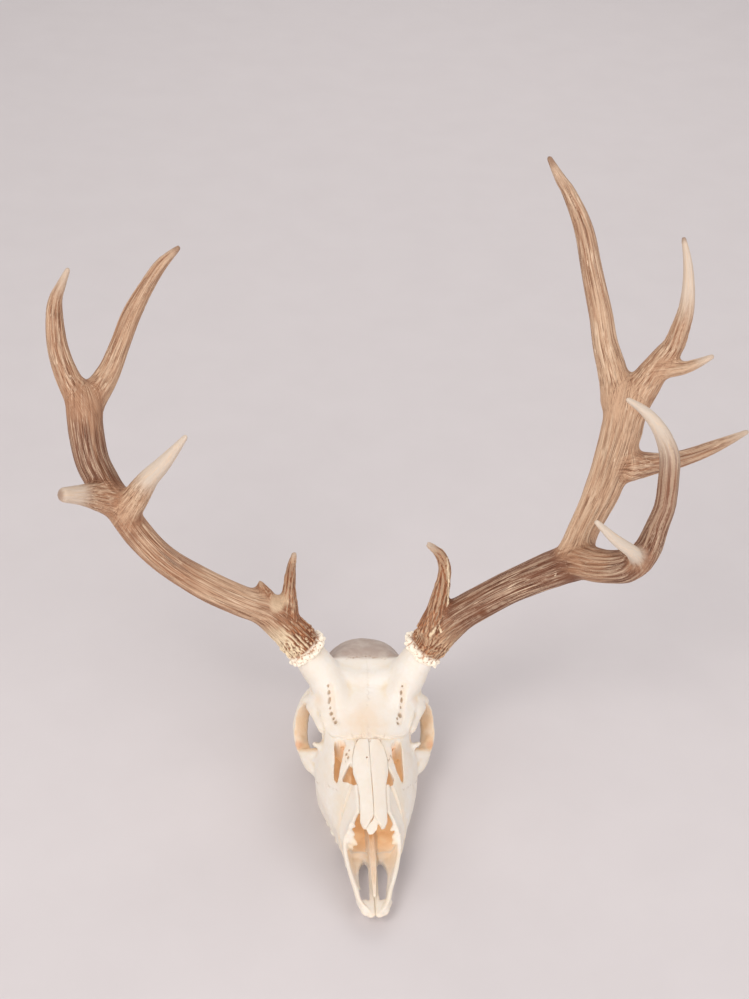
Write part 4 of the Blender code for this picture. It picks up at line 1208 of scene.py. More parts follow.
def new_effect(name: str, inputs: dict[str, float]) -> tuple[Wiring, dict[str, Socket], Socket]:
    """Empty shared effect with one value coming out.

    Args:
        name: the effect's name.
        inputs: names of its inputs with their usual values.

    Returns:
        Its wiring, its input sockets by name, and the socket of the value that comes out.
    """
    tree = bpy.data.node_groups.new(name, "ShaderNodeTree")
    for key, value in inputs.items():
        socket = tree.interface.new_socket(name=key, in_out="INPUT", socket_type="NodeSocketFloat")
        socket.default_value = value
    tree.interface.new_socket(name="Value", in_out="OUTPUT", socket_type="NodeSocketFloat")
    start = tree.nodes.new("NodeGroupInput")
    end = tree.nodes.new("NodeGroupOutput")
    return Wiring(tree), {key: start.outputs[key] for key in inputs}, end.inputs["Value"]


class Effects:
    """Shared effects, each built once."""

    def __init__(self) -> None:
        """Builds every effect."""
        self.mottling = self.make_mottling()
        self.bark = self.make_bark()

    @staticmethod
    def make_mottling() -> bpy.types.NodeTree:
        """Soft blotches over finer ones, at a size in metres.

        Returns:
            The effect.
        """
        wiring, given, out = new_effect("mottling", {"Scale": 60.0, "Low": 0.35, "High": 0.7})
        broad = wiring.noise(wiring.own_place(), given["Scale"], 4.0, 0.6)
        wiring.feed(out, wiring.span(broad, given["Low"], given["High"]))
        return wiring.tree

    @staticmethod
    def make_bark() -> bpy.types.NodeTree:
        """Streaks that run along a branch, read from the two nearest branches' own directions.

        Returns:
            The effect.
        """
        wiring, given, out = new_effect("bark", {"Across": 0.5, "Along": 0.03, "Detail": 3.0})
        streaks = []
        for name in ("grain", "grain_other"):
            scale = wiring.add("CombineXYZ", {0: given["Across"], 1: given["Across"], 2: given["Along"]})
            feeds = {0: wiring.kept(name, "Vector"), 1: scale.outputs[0]}
            place = wiring.add("VectorMath", feeds, operation="MULTIPLY").outputs[0]
            streaks.append(wiring.noise(place, 1.0, given["Detail"], 0.6))
        feeds = {0: wiring.kept("grain_share"), 2: streaks[0], 3: streaks[1]}
        wiring.feed(out, wiring.add("Mix", feeds).outputs[0])
        return wiring.tree


def new_material(
    name: str, **constants: Union[float, Row]
) -> tuple[bpy.types.Material, Wiring, bpy.types.ShaderNode]:
    """Empty material with its shader.

    Args:
        name: the material's name.
        constants: numbers that are the same all over, named as the shader's inputs with _ for a space.

    Returns:
        The material, its wiring and its Principled BSDF.
    """
    made = bpy.data.materials.new(name)
    made.use_nodes = True
    shader = made.node_tree.nodes["Principled BSDF"]
    for key, value in constants.items():
        shader.inputs[key.replace("_", " ")].default_value = value
    return made, Wiring(made.node_tree), shader


@dataclass(frozen=True)
class BoneFinish:
    """Bleached bone stained where tissue sat longest, with painted warm shade in hollows and a painted glow.
    """

    name: str
    base: Row = (0.765, 0.695, 0.615)
    straw: Row = (0.74, 0.61, 0.44)
    pale: Row = (0.80, 0.755, 0.70)
    stain: Row = (0.74, 0.49, 0.27)
    rust: Row = (0.62, 0.22, 0.08)
    # Colour of the painted shade on the braincase behind the antlers.
    grey: Row = (0.40, 0.295, 0.245)
    # Dark of the sutures, also laid in pits and holes as painted shade.
    crack: Row = (0.36, 0.22, 0.13)
    # light and glow: colour and strength of a painted glow, an emission that stands in for light shining
    # through thin bone.
    light: Row = (0.68, 0.42, 0.21)
    roughness: float = 0.52
    glow: float = 0.42

    def make(self, effects: Effects) -> bpy.types.Material:
        """Builds the material.

        Args:
            effects: shared effects.

        Returns:
            The material.
        """
        made, wiring, shader = new_material(
            self.name, Emission_Strength=self.glow, Specular_IOR_Level=0.38, Subsurface_Weight=0.12,
            Subsurface_Radius=(1.0, 0.62, 0.4), Subsurface_Scale=0.003)
        place = wiring.own_place()
        blotch = wiring.group(effects.mottling, Scale=38.0, Low=0.38, High=0.72)
        fine = wiring.group(effects.mottling, Scale=260.0, Low=0.4, High=0.75)
        patch = wiring.group(effects.mottling, Scale=85.0, Low=0.46, High=0.68)
        hollow = wiring.span(wiring.kept("hollow"), 0.12, 0.9)
        edge = wiring.span(wiring.kept("hollow"), -0.15, -0.9)
        cloudy = wiring.noise(place, 90.0, 4.0)
        colour = wiring.coats(
            self.base,
            (wiring.times(blotch, 0.75), self.pale),
            (wiring.times(patch, 0.13), self.straw),
            # Painted warm shade where the surface is sunken, mixed with fine blotches.
            (wiring.plus(wiring.times(hollow, 0.75), wiring.times(fine, 0.17)), self.straw),
            (wiring.times(edge, 0.25), self.straw),
            (wiring.times(wiring.kept("stain"), wiring.span(cloudy, 0.3, 0.62, 0.5, 1.0)), self.stain),
            (wiring.kept("rust"), self.rust),
            # Painted shade on the braincase behind the antlers.
            (wiring.times(wiring.kept("grey"), wiring.span(cloudy, 0.2, 0.65, 0.6, 1.0)), self.grey),
            # Dark sutures, and painted shade in pits and holes.
            (wiring.times(wiring.kept("crack"), 0.85), self.crack),
        )
        wiring.feed(shader.inputs["Base Color"], colour)
        # Painted glow: emission where light would shine through thin bone in the nose and orbits.
        lit = wiring.times(wiring.kept("glow"), wiring.span(cloudy, 0.35, 0.6, 1.05, 0.72))
        wiring.feed(shader.inputs["Emission Color"], wiring.blend(lit, (0.0, 0.0, 0.0), self.light))
        grain = wiring.noise(place, 900.0, 4.0, 0.65)
        pores = wiring.noise(place, 2600.0, 2.0)
        relief = wiring.plus(wiring.times(grain, 0.65), wiring.times(pores, 0.35))
        wiring.feed(shader.inputs["Normal"], wiring.bump(relief, 0.55, 0.00035))
        dull = wiring.span(grain, 0.3, 0.7, self.roughness - 0.07, self.roughness + 0.1)
        wiring.feed(shader.inputs["Roughness"], dull)
        return made


@dataclass(frozen=True)
class EnamelFinish:
    """Cheek tooth: cream enamel, brown in the grooves and on the worn face."""

    name: str = "cheek_tooth_enamel"
    enamel: Row = (0.86, 0.80, 0.70)
    straw: Row = (0.72, 0.56, 0.36)
    tartar: Row = (0.22, 0.125, 0.06)
    dentine: Row = (0.55, 0.38, 0.21)

    def make(self, effects: Effects) -> bpy.types.Material:
        """Builds the material.

        Args:
            effects: shared effects.

        Returns:
            The material.
        """
        made, wiring, shader = new_material(
            self.name, Subsurface_Weight=0.15, Subsurface_Radius=(1.0, 0.7, 0.5), Subsurface_Scale=0.002)
        blotch = wiring.group(effects.mottling, Scale=120.0, Low=0.35, High=0.7)
        hollow = wiring.span(wiring.kept("hollow"), 0.1, 0.8)
        colour = wiring.coats(
            self.enamel,
            (wiring.times(blotch, 0.6), self.straw),
            (wiring.kept("dentine"), self.dentine),
            (wiring.times(hollow, wiring.span(blotch, 0.0, 0.8, 0.5, 1.0)), self.tartar),
        )
        wiring.feed(shader.inputs["Base Color"], colour)
        lines = wiring.noise(wiring.stretched(wiring.own_place(), (900.0, 900.0, 260.0)), 1.0)
        wiring.feed(shader.inputs["Normal"], wiring.bump(lines, 0.35, 0.0002))
        wiring.feed(shader.inputs["Roughness"], wiring.span(blotch, 0.0, 1.0, 0.26, 0.45))
        return made


@dataclass(frozen=True)
class AntlerFinish:
    """Antler: brown with pale ridges, a rusty fibrous foot and tips rubbed to ivory."""

    name: str = "antler_bark"
    deep: Row = (0.20, 0.084, 0.046)
    brown: Row = (0.395, 0.207, 0.118)
    tan: Row = (0.60, 0.39, 0.252)
    shade: Row = (0.38, 0.28, 0.22)
    ridge: Row = (0.75, 0.56, 0.395)
    ivory: Row = (0.62, 0.535, 0.45)
    rust: Row = (0.155, 0.052, 0.022)
    ember: Row = (0.455, 0.185, 0.08)
    cream: Row = (0.88, 0.71, 0.485)
    knob: Row = (0.93, 0.84, 0.70)

    def bark(self, wiring: Wiring, effects: Effects, lines: Socket, streak: Socket, fibre: Socket) -> Socket:
        """Colour of the plain branches.

        Args:
            wiring: the material's wiring.
            effects: shared effects.
            lines: mask of long thin ridges.
            streak: short streaks along the branch.
            fibre: hair-fine streaks along the branch.

        Returns:
            The colour.
        """
        hollow = wiring.kept("hollow")
        broad = wiring.group(effects.bark, Across=0.2, Along=0.012, Detail=3.0)
        patch = wiring.group(effects.mottling, Scale=24.0, Low=0.4, High=0.62)
        darker = wiring.span(patch, 0.0, 1.0, 0.45, 0.95)
        lighter = wiring.span(patch, 0.0, 1.0, 0.25, 0.65)
        tone = wiring.plus(wiring.kept("tone"), wiring.span(broad, 0.3, 0.7, 0.0, 0.4))
        tone = wiring.math("SUBTRACT", tone, 0.2)
        plain = wiring.coats(
            self.deep,
            (wiring.span(tone, 0.0, 0.5), self.brown),
            (wiring.span(tone, 0.5, 1.0), self.tan),
        )
        shaded = wiring.coats(
            plain,
            (wiring.times(wiring.span(streak, 0.51, 0.37), darker), self.shade),
            (wiring.times(wiring.span(fibre, 0.47, 0.36), 0.6), self.shade),
            # Painted shade: the antler is darkened where its surface is sunken.
            (wiring.times(wiring.span(hollow, 0.05, 0.9), 0.6), self.shade),
            mode="MULTIPLY",
        )
        clear = wiring.times(lines, wiring.span(wiring.kept("grain_share"), 0.35, 0.05))
        return wiring.coats(
            shaded,
            (wiring.times(wiring.span(streak, 0.53, 0.66), lighter), self.ridge),
            (wiring.times(clear, wiring.span(patch, 0.0, 1.0, 0.3, 0.85)), self.ridge),
            (wiring.times(wiring.span(hollow, -0.1, -0.9), 0.36), self.ridge),
        )

    def make(self, effects: Effects) -> bpy.types.Material:
        """Builds the material.

        Args:
            effects: shared effects.

        Returns:
            The material.
        """
        made, wiring, shader = new_material(self.name, Specular_IOR_Level=0.22)
        streak = wiring.group(effects.bark, Across=1.35, Along=0.028, Detail=3.0)
        fibre = wiring.group(effects.bark, Across=2.4, Along=0.07, Detail=3.0)
        wave = wiring.group(effects.bark, Across=0.42, Along=0.008, Detail=1.0)
        lines = wiring.times(wiring.span(wave, 0.478, 0.497), wiring.span(wave, 0.522, 0.503))
        hollow = wiring.kept("hollow")
        rusty = wiring.coats(
            wiring.blend(wiring.span(fibre, 0.43, 0.58), self.rust, self.ember),
            (wiring.times(wiring.span(hollow, -0.1, -0.7), 0.28), self.cream),
            (wiring.times(wiring.kept("cream"), wiring.span(fibre, 0.33, 0.5, 0.25, 1.0)), self.cream),
            (wiring.times(wiring.span(hollow, 0.1, 0.8), 0.75), self.rust),
        )
        knobs = wiring.blend(wiring.times(wiring.span(hollow, 0.2, 1.0), 0.75), self.knob, self.ember)
        ends = wiring.blend(wiring.span(streak, 0.3, 0.55), self.ridge, self.ivory)
        worn = wiring.times(wiring.kept("ivory"), wiring.span(fibre, 0.25, 0.5, 0.85, 1.0))
        colour = wiring.coats(
            self.bark(wiring, effects, lines, streak, fibre),
            (wiring.kept("foot"), rusty),
            (wiring.kept("burr"), knobs),
            (worn, ends),
            (wiring.kept("scar"), self.rust),
            (wiring.kept("pale"), self.cream),
        )
        wiring.feed(shader.inputs["Base Color"], colour)
        plain = wiring.span(wiring.kept("ivory"), 0.2, 1.0, 1.0, 0.35)
        height = wiring.plus(wiring.times(fibre, 0.3), wiring.times(streak, 0.45))
        height = wiring.plus(height, wiring.times(lines, 0.2))
        wiring.feed(shader.inputs["Normal"], wiring.bump(wiring.times(height, plain), 0.75, 0.001))
        wiring.feed(shader.inputs["Roughness"], wiring.span(streak, 0.3, 0.7, 0.66, 0.5))
        return made


def dress(thing: Thing, finish: bpy.types.Material, nodes: Sequence[str],
          leaning: bool = True) -> None:
    """Args:
        thing: the finished piece, in skull millimetres.
        finish: its material.
        nodes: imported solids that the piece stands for.
        leaning: whether the snout's lean is added.
    """
    mesh = thing.data
    spots = np.empty(len(mesh.vertices) * 3)
    mesh.vertices.foreach_get("co", spots)
    mesh.vertices.foreach_set("co", PLACE.to_frame(spots.reshape(-1, 3), leaning).ravel())
    mesh.update()
    mesh.materials.clear()
    mesh.materials.append(finish)
    mesh.shade_smooth()
    mesh.set_sharp_from_angle(angle=SHARP_ANGLE)
    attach(thing, "root")
    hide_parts(*nodes)
    LOG.info("%s: %d faces", thing.name, len(mesh.polygons))


class View(Enum):
    """Side that a line on the skull is drawn from, as the axis left out."""

    SIDE = 0
    TOP = 2
    SPACE = 3


def line_distance(points: Array, path: Sequence[Row], seen: View, wander: float = 0.0) -> Array:
    """Distance of points from a line, as seen from one side.

    Args:
        points: places, one a row.
        path: the line.
        seen: side that it is drawn from.
        wander: how far the line strays, in millimetres.

    Returns:
        Distances in millimetres.
    """
    rows = smooth_rows(path, 4)
    spots = points.copy()
    if wander:
        for axis in range(3):
            spots[:, axis] += wander * speckle(points, 3.0, 2, seed=7.3 + 11.0 * axis)
    if seen is not View.SPACE:
        rows = rows.copy()
        rows[:, seen.value] = 0.0
        spots[:, seen.value] = 0.0
    return fit_path(spots, rows).distance


@dataclass
class Cranium:
    """Braincase, orbits, cheeks and upper jaw, grown together, with the pedicles."""

    rough_voxel: float = 2.0
    voxel: float = 1.3
    triangles: int = 120000
    gum_line: float = 12.0
    strap_thin: float = 2.6
    strap_wide: float = 7.4
    strap_inward: float = 6.1
    orbit_middle: Row = (52.0, 175.0, 63.0)
    eyeball: Row = (58.0, 176.0, 62.0)
    eye_rust: Row = (60.3, 178.8, 43.6)
    slit_rust: Row = (20.0, 136.0, 72.0)
    vomer_half: float = 3.3
    vomer_underside: float = 18.4
    jaw_cut_low: Row = (62.4, 12.0)
    jaw_cut_high: Row = (92.4, 52.0)

    @property
    def jaw_slant(self) -> tuple[float, float]:
        """How far back and how far up the slanting joint with the premaxillae goes."""
        return self.jaw_cut_high[0] - self.jaw_cut_low[0], self.jaw_cut_high[1] - self.jaw_cut_low[1]

    def shell(self) -> Thing:
        """Long body of the skull before anything is hollowed.

        Returns:
            The body.
        """
        clay = Clay()
        clay.sections(SKULL_SECTIONS, 3)
        for rows in PEDICLES:
            clay.rod(rows)
        return clay.become("skull_shell")

    def hollows(self) -> Thing:
        """Nose, braincase, orbits and temporal hollows, as one cutter.

        Returns:
            The cutter.
        """
        clay = Clay()
        clay.sections(NOSE_HOLLOW_SECTIONS, 3)
        clay.forms(MIDDLE_HOLLOWS, 1)
        for sign in (-1, 1):
            clay.forms(SIDE_HOLLOWS, sign)
        cutter = clay.become("skull_hollows")
        melt(cutter, self.rough_voxel, 2)
        return cutter

    def orbit_strap(self, clay: Clay, sign: int) -> None:
        """Bony strap round an eye, its broad side facing the eyeball.

        Args:
            clay: lump that it is added to.
            sign: side of the skull.
        """
        middle = np.array((sign * self.orbit_middle[0], *self.orbit_middle[1:]))
        inward = np.array((-sign * 0.93, 0.3, -0.1))
        inward /= np.linalg.norm(inward)
        angles = np.arange(14) * (math.tau / 14)
        thin, wide = np.cos(angles) * self.strap_thin, np.sin(angles) * self.strap_wide
        rings = []
        for spot in smooth_rows(on_side(ORBIT_RIM, sign), 4, closed=True):
            outward = spot - middle
            outward = outward - inward * np.dot(outward, inward)
            outward /= np.linalg.norm(outward)
            section = np.outer(thin, outward) + np.outer(wide, inward)
            rings.append(spot + inward * self.strap_inward + section)
        clay.loft(rings, joined=True)

    def cheek_openings(self) -> Thing:
        """Openings beside the nasal bones, the teeth's seat and the vault of the palate, as one cutter.

        Returns:
            The cutter.
        """
        clay = Clay()
        for outline in ROOF_OPENINGS:
            clay.prism(outline, 48.0, 110.0)
        clay.block((0, 131, self.gum_line - 20), (110, 108, 40))
        clay.ball((0, 134, 11), (20.5, 58, 8.5))
        cutter = clay.become("cheek_openings")
        melt(cutter, 0.9, 1)
        return cutter

    def front_wedge(self) -> Thing:
        """Everything in front of the slanting joint with the premaxillae, but for the vomer.

        Returns:
            The cutter.
        """
        low_y, low_z = self.jaw_cut_low
        back, up = self.jaw_slant
        slope = back / up
        bottom, top, ahead, beside = -60.0, 120.0, -60.0, 90.0
        edge = [(low_y + slope * (z - low_z), z) for z in (bottom, top)]
        profile = [(ahead, bottom), *edge, (ahead, top)]
        clay = Clay()
        for near, far in ((self.vomer_half, beside), (-beside, -self.vomer_half)):
            clay.loft([np.array([(x, y, z) for y, z in profile]) for x in (near, far)])
        return clay.become("front_wedge")

    def build(self) -> Thing:
        """Builds, cuts and sculpts the bone.

        Returns:
            The cranium, in skull millimetres.
        """
        skull = self.shell()
        melt(skull, self.rough_voxel, 2)
        carve(skull, self.hollows())
        clay = Clay(skull)
        for sign in (-1, 1):
            self.orbit_strap(clay, sign)
            clay.forms(SIDE_FORMS, sign)
        clay.forms(MIDDLE_RODS, 1)
        skull = clay.become("skull_cranium")
        melt(skull, self.voxel * 1.15, 3)
        carve(skull, self.cheek_openings())
        melt(skull, self.voxel, 2, 0.4)
        largest_piece(skull)
        reduce_to(skull, self.triangles)
        carve(skull, nasal_clearance())
        carve(skull, self.front_wedge())
        under = Clay()
        half = self.vomer_half + 0.5
        under.block((0, -8, (self.vomer_underside - 30) * 0.5), (half * 2, 150, self.vomer_underside + 30))
        carve(skull, under.become("under_vomer"))
        slice_off(skull, (0, 0, 0), (0, 0, -1))
        largest_piece(skull)
        self.sculpt(skull)
        return skull

    @staticmethod
    def fine_places(spots: Array) -> Array:
        """Whether points lie by a suture, a groove or a pit, where the mesh is made finer.

        Args:
            spots: places, one a row.

        Returns:
            True for each such place.
        """
        x, y, z = spots.T
        near = (z > 60) & (line_distance(spots, MIDLINE_SUTURE, View.TOP) < 1.8)
        near |= (z > 60) & (np.abs(np.abs(x) - 20.5) < 6.0) & (np.abs(y - 129.0) < 11.0)
        near |= (np.abs(x) < 4.5) & (y < 116) & (z < 31)
        lines = [(seam.path, seam.fine) for seam in SEAMS] + [(SUPRAORBITAL_GROOVE, 6.5), (BROW_EDGE, 3.5)]
        for line, width in lines:
            for path in both_sides(line):
                near |= line_distance(spots, path, View.SPACE) < width
        return near

    def sculpt(self, thing: Thing) -> None:
        """Adds sutures, grooves, pits and rough patches, and keeps the colour masks.

        Args:
            thing: the cranium's object.
        """
        refine(thing, self.fine_places, 0.6, 2)
        skin = Skin(thing)
        skin.push(self.brow_step(skin))
        points = skin.points
        x, y, z = points.T
        outer = along_facing(skin.facing, (points - (0.0, 0.0, 48.0)) * (1.0, 0.0, 1.0)) > 0
        high = outer & (z > 60)
        ahead = self.ahead_of_jaw(points)
        height = bone_relief(points) * ramp(z, 0.0, 8.0) * ramp(ahead, 0.0, -2.0)
        height -= 0.8 * outer * ramp(ahead, -3.5, -0.2) * (1.0 - self.on_joint(points, skin.facing))
        channel = ramp(np.abs(x), 2.3, 1.2) * (y < 118) * ramp(skin.facing[:, 2], 0.3, 0.7)
        height -= 1.5 * channel * ramp(z, 34.0, 30.0) * ramp(y, 20.0, 40.0)
        middle = line_distance(points, MIDLINE_SUTURE, View.TOP, wander=1.1)
        crack = high * ramp(middle, 0.75, 0.15) * (0.08 + 0.14 * ramp(y, 192.0, 180.0))
        height -= high * ramp(middle, 1.4, 0.0) * 0.3
        for seam in SEAMS:
            for path in both_sides(seam.path):
                away = line_distance(points, path, View.SPACE, seam.wander)
                crack = np.maximum(crack, outer * ramp(away, *seam.dark_span) * seam.darkness)
                height -= outer * ramp(away, seam.groove, 0.0) * seam.depth
        for path in both_sides(SUPRAORBITAL_GROOVE):
            height -= outer * ramp(line_distance(points, path, View.SPACE, wander=0.8), 4.2, 0.6)
        # Pits are sunk and darkened; the dark is painted shade for the depth of each hole.
        for pit_x, pit_y, radius in BROW_PITS + STRUT_PITS:
            shift = 0.35 * speckle(points * (1.0, 1.0, 0.0), 2.0, 2, seed=pit_x) if radius > 1.0 else 0.0
            pit = high * ramp(np.hypot(x - pit_x, y - pit_y) + shift, radius * 1.25, radius * 0.6)
            height -= pit * 1.4 * radius
            crack = np.maximum(crack, pit * 0.7)
        skin.push(height)
        crumbly = self.crumbly(skin.points)
        skin.push(crumbly * (0.5 * speckle(skin.points, 2.6, 3, seed=9.0) - 0.25))
        self.keep_masks(skin, np.clip(crack, 0.0, 1.0))

    def ahead_of_jaw(self, points: Array) -> Array:
        """Distance in front of the slanting joint with the premaxillae; the vomer never counts.

        Args:
            points: places, one a row.

        Returns:
            Distances, below nought behind the joint.
        """
        low_y, low_z = self.jaw_cut_low
        back, up = self.jaw_slant
        across = np.array((up, -back))
        across /= np.linalg.norm(across)
        ahead = -((points[:, 1] - low_y) * across[0] + (points[:, 2] - low_z) * across[1])
        return np.where(np.abs(points[:, 0]) < self.vomer_half + 0.2, -9.0, ahead)

    def on_joint(self, points: Array, facing: Array) -> Array:
        """Whether points lie on the cut face of the joint with the premaxillae.

        Args:
            points: places, one a row.
            facing: directions the surface faces in.

        Returns:
            One on the cut face and nought away from it.
        """
        back, up = self.jaw_slant
        normal = np.array((0.0, -up, back))
        normal /= np.linalg.norm(normal)
        return ramp(np.abs(self.ahead_of_jaw(points)), 1.4, 0.5) * ramp(np.abs(facing @ normal), 0.55, 0.85)

    @staticmethod
    def brow_step(skin: Skin) -> Array:
        """Step down from the front edge of the brow to the bones of the snout.

        Args:
            skin: the cranium's skin.

        Returns:
            Height to add at each point.
        """
        points = skin.points
        height = np.zeros(len(points))
        upper = (points[:, 2] > 62) * ramp(skin.facing[:, 2] + 0.6 * np.abs(skin.facing[:, 0]), 0.2, 0.5)
        for path in both_sides(BROW_EDGE):
            rows = smooth_rows(path, 4) * (1.0, 1.0, 0.0)
            fit = fit_path(points * (1.0, 1.0, 0.0), rows)
            heading = (rows[1:] - rows[:-1])[fit.segment]
            heading /= np.linalg.norm(heading, axis=1)[:, None]
            turn = heading[:, 0] * fit.offset[:, 1] - heading[:, 1] * fit.offset[:, 0]
            ahead = ramp(-turn * np.sign(path[0][0]), -0.45, 0.45)
            drop_down = 2.1 * ramp(fit.distance, 11.0, 0.5) * ahead
            lip = 0.45 * ramp(fit.distance, 3.5, 0.5) * (1.0 - ahead)
            height += np.where(points[:, 0] * path[0][0] > 0, (lip - drop_down) * upper, 0.0)
        return height

    @staticmethod
    def crumbly(points: Array) -> Array:
        """How porous the bone is: most in front of the cheeks above the teeth.

        Args:
            points: places, one a row.

        Returns:
            Numbers from nought to one.
        """
        x, y, z = points.T
        front = ramp(np.abs(x), 20.0, 30.0) * ramp(y, 150.0, 118.0)
        return front * ramp(z, 58.0, 40.0) * ramp(z, 12.5, 17.0)

    def keep_masks(self, skin: Skin, crack: Array) -> None:
        """Stores the colour masks.

        Args:
            skin: the sculpted skin.
            crack: mask of sutures and pits.
        """
        points, facing = skin.points, skin.facing
        x, y, z = points.T
        stain, rust, sheen = np.zeros((3, len(points)))
        lower = ramp(z, 80.0, 52.0)
        for sign in (-1, 1):
            towards = np.array(on_side([self.eyeball], sign)[0]) - points
            reach = np.linalg.norm(towards, axis=1)
            inside = ramp(along_facing(facing, towards) / np.maximum(reach, 1e-6), 0.25, 0.8)
            strap = inside * ramp(reach, 34.0, 22.0)
            stain = np.maximum(stain, strap * (0.5 + 0.3 * lower))
            # sheen: painted glow on the orbit walls that face the eyeball.
            sheen = np.maximum(sheen, strap * (0.12 + 0.16 * lower))
            away = reach_from(points, on_side([self.eye_rust], sign)[0])
            rust = np.maximum(rust, ramp(away, 6.0, 1.5) * 0.45)
        inside = skin.spread(inside_nose(points), 5) * (1.0 - self.on_joint(points, facing))
        inside *= np.where(y < 150.0, ramp(roof_height(x, y) - z, 1.6, 5.0), 1.0)
        deep = ramp(y, 98.0, 112.0)
        bleached = np.where(x > 0, 0.62, 0.36)
        aside = 1.0 - bleached * deep * ramp(np.abs(x), 12.0, 18.0)
        stain = np.maximum(stain, inside * aside * (0.5 + 0.45 * ramp(y, 58.0, 90.0)))
        for spot in both_sides([self.slit_rust]):
            rust = np.maximum(rust, inside * ramp(reach_from(points, spot[0]), 16.0, 6.0) * 0.3)
        vomer = (np.abs(x) < 5.5) & (y < 112) & (z < 31) & (z > 18)
        groove = ramp(np.abs(x), 2.6, 1.5) * ramp(facing[:, 2], 0.0, 0.5)
        honey = 0.18 + groove * (0.35 + 0.5 * ramp(y, 66.0, 82.0)) * ramp(y, 24.0, 42.0)
        stain = np.where(vomer, honey, stain)
        tint = np.zeros(len(points))
        for *spot, size, strength in BONE_TINTS:
            tint = np.maximum(tint, ramp(reach_from(points, spot), size, 1.0) * strength)
        for path in both_sides(SUPRAORBITAL_GROOVE):
            tint = np.maximum(tint, ramp(line_distance(points, path, View.SPACE), 4.5, 1.0) * 0.26)
        # Painted glow on the walls of the nose, standing in for light shining through thin bone.
        glow = inside * (0.45 + 0.5 * ramp(y, 60.0, 84.0)) * (1.0 - 0.16 * deep)
        skin.keep(
            stain=np.clip(stain + tint, 0.0, 1.0),
            glow=np.maximum(np.where(vomer, 0.4 * groove, glow), sheen),
            rust=rust,
            # Painted shade on the braincase roof behind the antlers, which slopes away from the light.
            grey=ramp(y, 215.0, 221.0) * ramp(z, 60.0, 92.0) * 0.9,
            crack=crack,
            hollow=skin.hollowness(14, 0.9),
        )


def inside_nose(points: Array, margin: float = 2.2) -> Array:
    """Whether points lie in the hollow of the nose or on its walls.

    Args:
        points: places, one a row.
        margin: how far outside the hollow its walls still count.

    Returns:
        One inside and nought outside.
    """
    x, y, z = points.T
    table = np.array(flat_sections(NOSE_HOLLOW_SECTIONS))
    corners = np.column_stack([np.interp(y, table[:, 0], column) for column in table.T[1:]])
    corners = corners.reshape(len(points), -1, 2)
    middle = corners.mean(axis=1, keepdims=True) * (0.0, 1.0)
    reach = np.maximum(np.linalg.norm(corners - middle, axis=2, keepdims=True), 1.0)
    corners = np.moveaxis(middle + (corners - middle) * (1.0 + margin / reach), 1, 0)
    crossed = np.zeros(len(points), dtype=int)
    for start, end in zip(corners[:-1], corners[1:]):
        spans = (start[:, 1] > z) != (end[:, 1] > z)
        rise = np.where(np.abs(end[:, 1] - start[:, 1]) < 1e-9, 1e-9, end[:, 1] - start[:, 1])
        edge_x = start[:, 0] + (z - start[:, 1]) / rise * (end[:, 0] - start[:, 0])
        crossed += spans & (np.abs(x) < edge_x)
    return ((crossed % 2 == 1) & (y < 168) & (y > 40)).astype(float)


def bone_relief(points: Array) -> Array:
    """Low relief of bone, the same on both sides of a joint."""
    return 0.3 * speckle(points, 16.0, 3) + 0.09 * speckle(points, 3.2, 2, seed=4.0)


def nasal_clearance() -> Thing:
    """Prism over both nasal bones together, open to the front.

    Returns:
        The cutter.
    """
    edge = [(x, y) for x, y in NASAL_OUTLINE if x > 0]
    edge[-1] = (9.0, 40.0)
    clay = Clay()
    clay.prism(edge + on_side(edge[::-1], -1), 45.0, 125.0)
    return clay.become("nasal_clearance")


def roof_height(x: Array, y: Array) -> Array:
    """Height of the skull's roof.

    Args:
        x: distances from the midline.
        y: distances back from the nose tip.

    Returns:
        Heights in millimetres.
    """
    table = smooth_rows(flat_sections([(back, half[:4]) for back, half in SKULL_SECTIONS if back <= 160]), 8)
    across = np.linspace(0.0, 24.0, 49)
    grid = []
    for row in table:
        half = row[1:].reshape(-1, 2)
        curve = smooth_rows(np.vstack([half[1:2] * (-1.0, 1.0), half]), 8)
        grid.append(np.interp(across, curve[:, 0], curve[:, 1]))
    grid = np.array(grid)
    where = np.interp(y, table[:, 0], np.arange(len(table)))
    low = np.clip(np.floor(where).astype(int), 0, len(table) - 2)
    share = where - low
    column = np.clip(np.abs(x) / 0.5, 0, len(across) - 1.001)
    left = np.floor(column).astype(int)
    part = column - left
    first = grid[low, left] * (1 - part) + grid[low, left + 1] * part
    second = grid[low + 1, left] * (1 - part) + grid[low + 1, left + 1] * part
    return first * (1 - share) + second * share


